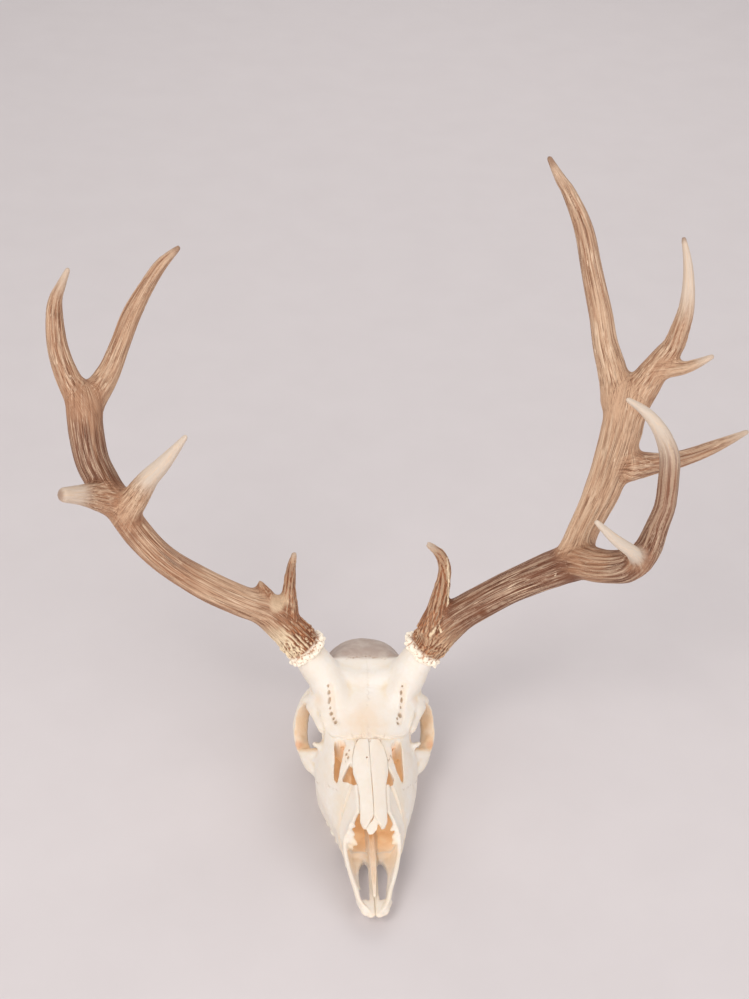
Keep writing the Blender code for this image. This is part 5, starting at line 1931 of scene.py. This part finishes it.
@dataclass
class NasalBone:
    """One of the two long bones on the roof of the nose."""

    sign: int
    side: str
    gap: float = 0.12
    thick: float = 3.4
    rear: float = 140.3
    notch: float = 73.0
    sink: float = 0.3

    def plate(self) -> Thing:
        """Curved plate that follows the roof, thickened downwards.

        Returns:
            The plate.
        """
        mesh = bmesh.new()
        bmesh.ops.create_grid(mesh, x_segments=24, y_segments=130, size=1.0)
        spots = np.array([vert.co[:] for vert in mesh.verts])
        across, down = (spots[:, 0] + 1.0) * 0.5, (spots[:, 1] + 1.0) * 0.5
        edge = sorted((y, x) for x, y in NASAL_OUTLINE if x > 0 and 69 < y <= 133)
        front = np.interp(across, [0.0, 0.57, 0.81, 1.0], [self.notch, 62.4, 64.4, 70.0])
        rear = np.interp(across, [0.0, 0.68, 0.9, 1.0], [self.rear, self.rear, 136.5, 132.8])
        y = front + (rear - front) * down
        wide = np.interp(y, *zip(*edge)) - self.gap
        x = self.gap * 0.5 + (wide - self.gap * 0.5) * across
        z = roof_height(x, y) - self.sink
        for vert, place in zip(mesh.verts, np.column_stack([x * self.sign, y, z])):
            vert.co = place
        bmesh.ops.recalc_face_normals(mesh, faces=mesh.faces)
        made = bmesh.ops.extrude_face_region(mesh, geom=list(mesh.faces), use_keep_orig=True)["geom"]
        lower = [part for part in made if isinstance(part, bmesh.types.BMVert)]
        bmesh.ops.translate(mesh, verts=lower, vec=(0.0, 0.0, -self.thick))
        bmesh.ops.recalc_face_normals(mesh, faces=mesh.faces)
        return new_thing("skull_nasal_" + self.side, mesh)

    def build(self) -> Thing:
        """Builds and sculpts the bone; the deer's left one carries the splinter between the tips.

        Returns:
            The bone, in skull millimetres.
        """
        bone = self.plate()
        if self.sign > 0:
            clay = Clay(bone)
            upper = np.array(SPLINTER)
            clay.loft([upper - (0.0, 1.4, 2.2), upper])
            bone = clay.become("skull_nasal_" + self.side)
        melt(bone, 0.5, 1, 0.25)
        self.sculpt(bone)
        return bone

    def sculpt(self, bone: Thing) -> None:
        """Softens the edges, adds relief and small holes, and keeps the colour masks.

        Args:
            bone: the bone's object.
        """
        skin = Skin(bone)
        x, y, _ = skin.points.T
        height = bone_relief(skin.points) * 0.7
        crest = ramp(np.abs(x), 3.0, 0.5) * ramp(y, 80.0, 100.0)
        height -= crest * 0.3 * (skin.facing[:, 2] > 0.3)
        crack = np.zeros(len(x))
        # Holes are sunk and darkened; the dark is painted shade for the depth of each hole.
        for hole_x, hole_y, radius, dark in NASAL_HOLES:
            away = np.hypot(x - hole_x, y - hole_y)
            pit = ramp(away, radius * 1.5, radius * 0.6) * (skin.facing[:, 2] > 0.2)
            height -= pit * 1.2
            crack = np.maximum(crack, pit * dark)
        skin.push(height)
        stain = ramp(skin.facing[:, 2], -0.2, -0.7) * 0.8
        rear = ramp(y, 128.0, 141.0) * ramp(np.abs(x), 3.0, 11.0) * 0.3
        # glow: painted glow on the undersides, standing in for light shining through the thin bone.
        skin.keep(stain=np.maximum(stain, rear), glow=stain * 0.6, rust=0, grey=0, crack=crack,
                  hollow=skin.hollowness(14, 0.9))


@dataclass
class Premaxilla:
    """One of the two bones at the front of the snout."""

    sign: int
    side: str
    cranium: Cranium
    shelf: float
    outset: float
    thick: float = 3.9
    gap: float = 0.12
    voxel: float = 0.8

    def wing(self, clay: Clay) -> None:
        """Long side wing from the tip up to the nasal bone.

        Args:
            clay: lump that it is added to.
        """
        rings = []
        thick = self.thick
        for back, foot_x, foot_z, belly_x, belly_z, rim_x, rim_z in smooth_rows(PREMAXILLA_STATIONS, 4):
            inner = thick + self.shelf * float(ramp(np.array(back), 28.0, 44.0))
            outset = self.outset * float(ramp(np.array(back), 8.0, 18.0) * ramp(np.array(back), 74.0, 62.0))
            ring = [
                (foot_x - 0.8, foot_z), (foot_x, foot_z + 1.5), (belly_x, belly_z),
                (rim_x, rim_z - 1.0), (rim_x - thick * 0.5, rim_z), (rim_x - thick, rim_z - 1.2),
                (belly_x - thick, belly_z), (foot_x - inner, foot_z + 2.4),
                (foot_x - inner + 0.8, foot_z + 0.6),
            ]
            rings.append(np.array([(self.sign * (x + outset), back, z) for x, z in ring]))
        clay.loft(rings)

    def build(self) -> Thing:
        """Builds, cuts and sculpts the bone.

        Returns:
            The bone, in skull millimetres.
        """
        clay = Clay()
        self.wing(clay)
        clay.forms(PREMAXILLA_FORMS, self.sign)
        for splinter in BROKEN_EDGES[self.side]:
            clay.rod(splinter, steps=2, sides=8)
        bone = clay.become("skull_premaxilla_" + self.side)
        melt(bone, self.voxel, 2)
        slit = Clay()
        slit.prism(on_side(PALATE_SLIT, self.sign), -10.0, 24.0)
        carve(bone, slit.become("palate_slit"))
        melt(bone, self.voxel, 2)
        carve(bone, nasal_clearance())
        around = Clay()
        half = self.cranium.vomer_half + self.gap
        around.block((0, 66, self.cranium.vomer_underside - self.gap + 5), (half * 2, 150, 10))
        carve(bone, around.become("round_vomer"))
        low_y, low_z = self.cranium.jaw_cut_low
        back, up = self.cranium.jaw_slant
        slice_off(bone, (0, low_y - self.gap, low_z), (0, up, -back))
        slice_off(bone, (self.sign * self.gap * 0.5, 0, 0), (-self.sign, 0, 0))
        largest_piece(bone)
        self.sculpt(bone)
        return bone

    def sculpt(self, bone: Thing) -> None:
        """Adds relief and keeps the colour masks.

        Args:
            bone: the bone's object.
        """
        skin = Skin(bone)
        points = skin.points
        height = bone_relief(points) * ramp(np.abs(points[:, 0]), 0.4, 2.0)
        skin.push(height * ramp(self.cranium.ahead_of_jaw(points), 0.1, 2.0))
        points = skin.points
        x, y, _ = points.T
        inside = skin.spread(inside_nose(points), 6) * ramp(y, 34.0, 58.0)
        off_joint = 1.0 - self.cranium.on_joint(points, skin.facing)
        inside *= ramp(skin.facing[:, 0] * self.sign, 0.5, 0.0) * off_joint
        inside *= ramp(np.abs(x), 9.0, 12.5) * 0.3 + 0.7
        tip = 0.16 * ramp(y, 40.0, 8.0)
        # glow: painted glow inside the nose, standing in for light shining through the thin bone.
        skin.keep(stain=np.maximum(tip, inside * (0.5 + 0.4 * ramp(y, 58.0, 80.0))),
                  glow=inside * (0.22 + 0.35 * ramp(y, 56.0, 80.0)), rust=0, grey=0, crack=0,
                  hollow=skin.hollowness(14, 0.9))


@dataclass
class CheekTooth:
    """One cheek tooth, ground down on its chewing face."""

    name: str
    side: str
    sign: int
    front: float
    rear: float
    inner: float
    outer: float
    top: float = 13.2
    voxel: float = 0.42

    @property
    def lobes(self) -> int:
        """How many lobes stand behind one another."""
        return 2 if self.name.startswith("molar") else 1

    def outline(self, height: float) -> Array:
        """Ring round the crown at a height, from minus a half to a half each way.

        Args:
            height: distance above the chewing face.

        Returns:
            Places of the ring's points, across and along.
        """
        angles = (np.arange(48) + 0.5) * (math.tau / 48)
        across = np.sign(np.cos(angles)) * np.abs(np.cos(angles)) ** 0.7
        along = np.sign(np.sin(angles)) * np.abs(np.sin(angles)) ** 0.7
        waist = 1.0
        if self.lobes == 2:
            waist = 1.0 - 0.2 * np.exp(-((along / 0.16) ** 2))
        rib = 1.0 + 0.05 * np.cos(angles * 2 * (3 if self.lobes == 2 else 2)) * (across > 0)
        taper = np.interp(height, [0.0, 1.5, 8.0, self.top], [0.95, 1.0, 0.94, 0.8])
        return np.column_stack([across * waist * rib * 0.5, along * 0.5]) * taper

    def build(self) -> Thing:
        """Builds and sculpts the tooth.

        Returns:
            The tooth, in skull millimetres.
        """
        length = self.rear - self.front
        width = self.outer - self.inner
        middle = (self.sign * (self.inner + self.outer) * 0.5, (self.front + self.rear) * 0.5)
        rings = []
        for height in np.linspace(0.0, self.top, 9):
            ring = self.outline(height)
            x = middle[0] + self.sign * ring[:, 0] * width
            y = middle[1] + ring[:, 1] * length
            rings.append(np.column_stack([x, y, np.full(len(ring), height)]))
        clay = Clay()
        clay.loft(rings)
        tooth = clay.become(self.name + "_" + self.side + "_crown")
        melt(tooth, self.voxel, 1)
        skin = Skin(tooth)
        self.grind(skin, middle, width, length)
        return tooth

    def grind(self, skin: Skin, middle: Row, width: float, length: float) -> None:
        """Sinks the crescents between the enamel ridges and keeps the colour masks.

        Args:
            skin: the tooth's skin.
            middle: its middle, x and y.
            width: how wide it is.
            length: how long it is.
        """
        points = skin.points
        across = (points[:, 0] - middle[0]) * self.sign / width
        along = (points[:, 1] - middle[1]) / length
        worn = ramp(points[:, 2], 1.2, 0.2) * (skin.facing[:, 2] < -0.4)
        sunk = np.zeros(len(points))
        for lobe in range(self.lobes):
            place = 0.0 if self.lobes == 1 else (lobe - 0.5) * 0.5
            spread = 0.42 if self.lobes == 1 else 0.22
            bent = across - 0.02 + 0.9 * (along - place) ** 2 / spread
            for shift, depth in ((-0.24, 0.7), (0.0, 1.0), (0.24, 0.7)):
                away = np.abs(bent - shift - 0.04)
                part = ramp(away, 0.1, 0.03) * ramp(np.abs(along - place), spread, spread * 0.7)
                sunk = np.maximum(sunk, part * depth)
        points[:, 2] += worn * sunk * 1.1
        skin.write()
        edge = speckle(skin.points, 5.0, 2, seed=3.0)
        skin.push(0.12 * edge * ramp(skin.points[:, 2], 1.0, 3.0))
        hollow = np.maximum(skin.hollowness(10, 0.35), worn * sunk)
        skin.keep(dentine=worn * (0.35 + 0.5 * sunk), hollow=hollow)


@dataclass(frozen=True)
class Branch:
    """One branch of an antler, with how light it is and where its ivory tip begins."""

    rows: Sequence[Row]
    tone: float = 0.5
    ivory_from: float = 0.86
    ivory: float = 0.6
    rusty: float = 0.0
    flatness: float = 1.0


@dataclass(frozen=True)
class Growth:
    """Where each point of an antler lies on its branches."""

    grain: Array
    grain_other: Array
    gap: Array
    tone: Array
    rusty: Array
    ivory: Array
    tip: Array


@dataclass
class Antler:
    """One whole antler in a single skin, from its burr to its tips."""

    side: str
    sign: int
    branches: Sequence[Branch]
    burr: Row
    cream_side: Row
    cream: float
    burr_axis: Row = (0.58, 0.06, 0.81)
    burr_radius: float = 15.2
    burr_bead: float = 4.0
    palm_side: Row = (0.35, -0.87, 0.35)
    rough_voxel: float = 1.4
    voxel: float = 1.0
    foot_length: float = 48.0
    search: float = 48.0
    grain_shift: float = 137.0

    @property
    def axis(self) -> Array:
        """Direction the antler leaves its burr in."""
        heading = np.array((self.sign * self.burr_axis[0], *self.burr_axis[1:]))
        return heading / np.linalg.norm(heading)

    def build(self) -> Thing:
        """Builds and sculpts the antler.

        Returns:
            The antler, in skull millimetres.
        """
        clay = Clay()
        for branch in self.branches:
            flat = self.palm_side if branch.flatness < 1.0 else None
            clay.rod(branch.rows, steps=6, sides=18, flat_side=flat, flatness=branch.flatness)
        clay.bead_ring(self.burr, Vector(self.axis), self.burr_radius, self.burr_bead)
        antler = clay.become("antler_" + self.side)
        melt(antler, self.rough_voxel, 4)
        foot = Vector(self.burr) - Vector(self.axis) * 3.0
        slice_off(antler, tuple(foot), tuple(-self.axis))
        melt(antler, self.voxel, 1)
        refine(antler, self.by_foot, 0.7, 1)
        self.sculpt(antler)
        return antler

    def by_foot(self, spots: Array) -> Array:
        """Whether points lie on the pearled foot, where the mesh is made finer."""
        return (spots - np.array(self.burr)) @ self.axis < self.foot_length

    def grain_of(self, points: Array, branch: Branch) -> tuple[Array, PathFit]:
        """Directions round and along a branch.

        Args:
            points: places, one a row.
            branch: the branch.

        Returns:
            Vector of two across and one along numbers, in millimetres, and the fit to the branch.
        """
        line = smooth_rows(branch.rows, 5)
        fit = fit_path(points, line)
        _, first, second = carried_frames(line[:, :3])
        one = along_facing(fit.offset, first[fit.segment])
        two = along_facing(fit.offset, second[fit.segment])
        length = np.maximum(np.hypot(one, two), 1e-6)
        size = 0.6 * fit.radius + 4.0
        return np.column_stack([one / length * size, two / length * size, fit.along]), fit

    def measure(self, points: Array) -> Growth:
        """Finds the two nearest branches of every point.

        Args:
            points: places, one a row.

        Returns:
            Grain directions, tone and wear, and how much further the second branch is than the first.
        """
        shape = (len(self.branches), len(points))
        gaps = np.full(shape, 1e3)
        grains = np.zeros((*shape, 3))
        ivory, tips = np.zeros(shape), np.zeros(shape)
        for index, branch in enumerate(self.branches):
            ends = np.asarray(branch.rows, dtype=float)[:, :3]
            low, high = ends.min(axis=0) - self.search, ends.max(axis=0) + self.search
            near = np.all((points > low) & (points < high), axis=1)
            grain, fit = self.grain_of(points[near], branch)
            grain[:, 2] += self.grain_shift * index
            grains[index, near] = grain
            gaps[index, near] = fit.distance - fit.radius
            worn = ramp(fit.share, branch.ivory_from - 0.12, branch.ivory_from + 0.12)
            ivory[index, near] = worn * branch.ivory
            tips[index, near] = ramp(fit.share, 0.8, 1.0)
        every = np.arange(len(points))
        nearest, other = np.argsort(gaps, axis=0)[:2]
        tone = np.array([branch.tone for branch in self.branches])[nearest]
        rusty = np.array([branch.rusty for branch in self.branches])[nearest]
        gap = gaps[other, every] - gaps[nearest, every]
        first, second = grains[nearest, every], grains[other, every]
        return Growth(first, second, gap, tone, rusty, ivory[nearest, every], tips[nearest, every])

    def sculpt(self, thing: Thing) -> None:
        """Raises ridges, pearls and the knobbly burr, and keeps grain and colour masks.

        Args:
            thing: the antler's object.
        """
        skin = Skin(thing)
        skin.ease(0.7 * ramp(self.measure(skin.points).gap, 13.0, 2.0), 45)
        growth = self.measure(skin.points)
        share = 0.5 * ramp(growth.gap, 7.0, 0.0)
        points = skin.points
        out = points - np.array(self.burr)
        rise = out @ self.axis
        foot = np.maximum(ramp(rise, 62.0, 20.0), skin.spread(growth.rusty, 12))
        ring = np.linalg.norm(out - np.outer(rise, self.axis), axis=1)
        burr = ramp(np.abs(rise), 7.5, 3.5) * ramp(ring, 10.0, 14.0)
        height = self.bark_height(growth, share)
        height *= (1.0 - 0.75 * growth.tip) * (1.0 - 0.55 * growth.ivory) * (1.0 - 0.5 * foot)
        pearl = ramp(cells(growth.grain * (1.0, 1.0, 0.5), 2.7, 1.7), 0.6, 0.1)
        fibre = speckle(growth.grain * (1.0, 1.0, 0.16), 2.3, 2, seed=6.0)
        height += foot * (1.0 - burr) * (0.9 * fibre + ramp(rise, 34.0, 12.0) * (1.5 * pearl - 0.4))
        knob = ramp(cells(points, 4.6, 8.0), 0.75, 0.1)
        height += burr * (2.3 * knob - 0.6 + 1.3 * speckle(points, 3.6, 3, seed=2.0))
        height *= ramp(rise, -3.2, -1.0) + 0.15
        worn, crust = self.pale_marks(points)
        height = height * (1.0 - worn) + 0.9 * crust * ramp(cells(points, 2.6, 4.0), 0.7, 0.2)
        skin.push(height)
        tone = skin.spread(growth.tone, 60) + 0.12 * speckle(points, 70.0, 2) + 0.5 * worn
        for *spot, radius, change in TONE_SPOTS:
            tone += change * ramp(reach_from(points, spot), radius, radius * 0.35)
        towards = np.array(self.cream_side) / np.linalg.norm(self.cream_side)
        lit = ramp(skin.facing @ towards + 0.25 * speckle(points, 9.0, 3), -0.05, 0.5)
        skin.keep(
            grain=growth.grain,
            grain_other=growth.grain_other,
            grain_share=share,
            ivory=skin.spread(growth.ivory, 12),
            tone=tone,
            pale=np.clip(0.85 * crust + 0.4 * worn, 0.0, 1.0),
            foot=foot * (1.0 - 0.5 * burr),
            burr=burr,
            cream=np.clip(self.cream * lit * ramp(rise, 70.0, 40.0), 0.0, 1.0),
            scar=self.scars(points),
            hollow=skin.hollowness(5, 0.3),
        )

    @staticmethod
    def scars(points: Array) -> Array:
        """Dark marks: rough bark by the right front tine, dirty tips and a notch under the left beam.

        Args:
            points: places, one a row.

        Returns:
            Strength of the mark at each point.
        """
        bark = ramp(np.linalg.norm((points - (-203, 203, 272)) * (1.0, 0.8, 1.0), axis=1), 20.0, 8.0)
        marks = 0.45 * bark * ramp(speckle(points, 7.0, 3, seed=12.0), -0.1, 0.5)
        for *spot, radius, strength in DARK_SPOTS:
            marks = np.maximum(marks, strength * ramp(reach_from(points, spot), radius, radius * 0.35))
        return marks

    @staticmethod
    def pale_marks(points: Array) -> tuple[Array, Array]:
        """Smooth worn patch by the right spur and the pale crusty ridge on the left brow tine.

        Args:
            points: places, one a row.

        Returns:
            Strengths of the patch and of the ridge at each point.
        """
        worn = ramp(np.linalg.norm((points - (-79.9, 208, 185.1)) * (1.0, 0.6, 1.0), axis=1), 9.5, 5.0)
        ridge = np.full(len(points), FAR_AWAY)
        for path in PALE_CRUST:
            ridge = np.minimum(ridge, line_distance(points, path, View.SPACE, 0.7))
        return worn, ramp(ridge, 1.6, 0.6)

    @staticmethod
    def bark_height(growth: Growth, share: Array) -> Array:
        """Height of the ridges and grooves that run along a branch.

        Args:
            growth: where the points lie on the branches.
            share: how much of the second nearest branch counts.

        Returns:
            Heights in millimetres.
        """
        total = np.zeros(len(share))
        for part, weight in ((growth.grain, 1.0 - share), (growth.grain_other, share)):
            broad = speckle(part * (1.0, 1.0, 0.05), 4.2, 2, seed=1.0)
            fine = speckle(part * (1.0, 1.0, 0.035), 2.4, 2, seed=3.0)
            total += weight * (0.6 * broad - 0.5 * np.abs(fine) + 0.15)
        return total


@dataclass
class Studio:
    """Pale floor, soft lights and the camera at the photograph's viewing angle."""

    azimuth: float = -4.6
    elevation: float = 35.0
    roll: float = 3.1
    distance: float = 1500.0
    aim_right: float = 4.3
    aim_up: float = 134.5
    aim_point: Row = (0.0, 180.0, 150.0)
    focal_pixels: float = 1724.0
    long_side_pixels: float = 999.0
    sensor: float = 36.0

    def floor(self) -> Thing:
        """Plain pale floor.

        Returns:
            The floor.
        """
        mesh = bmesh.new()
        bmesh.ops.create_grid(mesh, x_segments=8, y_segments=8, size=6.0)
        floor = new_thing("floor", mesh)
        made, wiring, shader = new_material("pale_floor")
        soft = wiring.noise(wiring.own_place(), 14.0, detail=5.0)
        wiring.feed(shader.inputs["Base Color"], wiring.blend(soft, (0.62, 0.57, 0.57), (0.66, 0.61, 0.61)))
        wiring.feed(shader.inputs["Roughness"], 0.9)
        floor.data.materials.append(made)
        return floor

    def lamp(self, name: str, place: Row, target: Row, size: float, power: float, colour: Row) -> None:
        """Square soft light.

        Args:
            name: its name.
            place: where it stands, in metres.
            target: what it points at, in metres.
            size: length of its side in metres.
            power: strength in watts.
            colour: its colour.
        """
        light = bpy.data.lights.new(name, "AREA")
        light.shape = "SQUARE"
        light.size = size
        light.energy = power
        light.color = colour
        lamp = bpy.data.objects.new(name, light)
        lamp.location = place
        lamp.rotation_euler = (Vector(target) - Vector(place)).to_track_quat("-Z", "Y").to_euler()
        bpy.context.scene.collection.objects.link(lamp)

    def lights(self) -> None:
        """Soft key from above in front, low fills from both sides and pale surroundings."""
        self.lamp("key_light", (-1.1, -1.7, 2.4), (0.0, 0.0, 0.15), 1.2, 34.0, (1.0, 0.975, 0.95))
        self.lamp("fill_light", (1.9, -1.9, 1.1), (0.0, 0.0, 0.1), 1.8, 33.0, (0.985, 0.985, 1.0))
        self.lamp("side_light", (-2.1, -1.8, 0.8), (0.0, 0.0, 0.1), 1.6, 24.0, (1.0, 0.98, 0.96))
        self.lamp("back_light", (0.4, 2.2, 2.2), (0.0, 0.0, 0.2), 1.6, 20.0, (1.0, 0.98, 0.96))
        world = bpy.data.worlds.new("pale_room")
        world.use_nodes = True
        background = world.node_tree.nodes["Background"]
        background.inputs["Color"].default_value = (0.9, 0.89, 0.9, 1.0)
        background.inputs["Strength"].default_value = 0.6
        bpy.context.scene.world = world

    def camera(self) -> None:
        """Camera of the photograph."""
        turn = math.radians(self.azimuth)
        lift = math.radians(self.elevation)
        back = Vector((math.sin(turn) * math.cos(lift), -math.cos(turn) * math.cos(lift), math.sin(lift)))
        right = Vector((0.0, 0.0, 1.0)).cross(back).normalized()
        up = back.cross(right)
        tilt = math.radians(self.roll)
        across = right * math.cos(tilt) + up * math.sin(tilt)
        upward = up * math.cos(tilt) - right * math.sin(tilt)
        aim = Vector(self.aim_point) + across * self.aim_right + upward * self.aim_up
        place = aim + back * self.distance
        lens = bpy.data.cameras.new("camera")
        lens.sensor_width = self.sensor
        lens.lens = self.sensor * self.focal_pixels / self.long_side_pixels
        lens.clip_end = 50.0
        camera = bpy.data.objects.new("camera", lens)
        spot = PLACE.to_frame(np.array([place[:]]), False)[0]
        facing = Matrix((across, upward, back)).transposed()
        camera.matrix_world = Matrix.Translation(Vector(spot)) @ facing.to_4x4()
        bpy.context.scene.collection.objects.link(camera)
        bpy.context.scene.camera = camera

    def build(self) -> None:
        """Sets up floor, lights, camera and the picture's plain tones."""
        self.floor()
        self.lights()
        self.camera()
        bpy.context.scene.view_settings.view_transform = "Standard"
        bpy.context.scene.view_settings.look = "None"


RIGHT_ANTLER = [
    Branch(RIGHT_BEAM, tone=0.47, ivory=0.0),
    Branch(RIGHT_BROW_TINE, tone=-0.08, ivory_from=0.97, ivory=0.8, rusty=0.75),
    Branch(RIGHT_BROW_SPUR, tone=0.1, ivory=0.0, rusty=0.5),
    Branch(RIGHT_BROW_THORN, tone=0.1, ivory=0.0, rusty=0.5),
    Branch(RIGHT_OUTER_TINE, tone=0.5, ivory_from=0.86, ivory=0.6),
    Branch(RIGHT_INNER_TINE, tone=0.62, ivory_from=0.98, ivory=0.3),
    Branch(RIGHT_FRONT_TINE, tone=0.95, ivory_from=0.4, ivory=0.9),
    Branch(RIGHT_REAR_STUB, tone=0.6, ivory_from=0.62, ivory=0.7),
]
LEFT_ANTLER = [
    Branch(LEFT_BEAM, tone=-0.02, ivory=0.0),
    Branch(LEFT_BROW_TINE, tone=0.0, ivory_from=0.94, ivory=0.9, rusty=0.9),
    Branch(LEFT_FRONT_BRANCH, tone=0.16, ivory_from=0.76, ivory=0.9),
    Branch(LEFT_FRONT_POINT, tone=0.75, ivory_from=0.3, ivory=0.95),
    Branch(LEFT_REAR_BRANCH, tone=0.88, ivory=0.0, flatness=0.68),
    Branch(LEFT_TALL_TINE, tone=0.78, ivory_from=0.95, ivory=0.2),
    Branch(LEFT_SECOND_TINE, tone=0.64, ivory_from=0.62, ivory=0.75),
    Branch(LEFT_KICKER, tone=0.75, ivory_from=0.7, ivory=0.6),
    Branch(LEFT_OUTWARD_TINE, tone=0.5, ivory_from=0.88, ivory=0.6),
]


def build_head(effects: Effects) -> None:
    """Cranium, nasal bones, premaxillae and teeth.

    Args:
        effects: shared effects.
    """
    bone = BoneFinish("bleached_bone").make(effects)
    nasal = BoneFinish("nasal_roof_bone", base=(0.765, 0.685, 0.595), pale=(0.80, 0.745, 0.675)).make(effects)
    snout = BoneFinish("snout_bone", base=(0.76, 0.685, 0.60), stain=(0.76, 0.57, 0.36)).make(effects)
    enamel = EnamelFinish().make(effects)
    cranium = Cranium()
    dress(cranium.build(), bone, ["cranium"])
    for sign, side, shelf, outset in ((1, "left", 4.2, -1.0), (-1, "right", 2.8, 1.2)):
        dress(NasalBone(sign, side).build(), nasal, ["nasal_" + side])
        premaxilla = Premaxilla(sign, side, cranium, shelf, outset)
        dress(premaxilla.build(), snout, ["premaxilla_" + side])
        for name, front, rear, inner, outer in TEETH:
            tooth = CheekTooth(name, side, sign, front, rear, inner, outer)
            dress(tooth.build(), enamel, [name + "_" + side])


def build_antlers(effects: Effects) -> None:
    """Both antlers.

    Args:
        effects: shared effects.
    """
    bark = AntlerFinish().make(effects)
    right = Antler("right", -1, RIGHT_ANTLER, (-54.0, 214.5, 127.0), (-0.6, -0.45, -0.7), cream=1.0)
    left = Antler("left", 1, LEFT_ANTLER, (50.0, 213.5, 127.0), (-0.2, -0.4, -0.9), cream=0.28, voxel=1.15)
    right_parts = ("antler_beam", "brow_tine", "front_tine", "inner_tine", "outer_tine")
    left_parts = ("antler_beam", "brow_tine", "front_branch", "front_point", "outward_tine", "rear_branch",
                  "tall_tine", "second_tine")
    dress(right.build(), bark, ["right_" + part for part in right_parts], leaning=False)
    dress(left.build(), bark, ["left_" + part for part in left_parts], leaning=False)


def main() -> None:
    """Builds every piece in order."""
    logging.basicConfig(level=logging.INFO, format="%(message)s")
    effects = Effects()
    Studio().build()
    build_antlers(effects)
    build_head(effects)


if __name__ == "__main__":
    main()
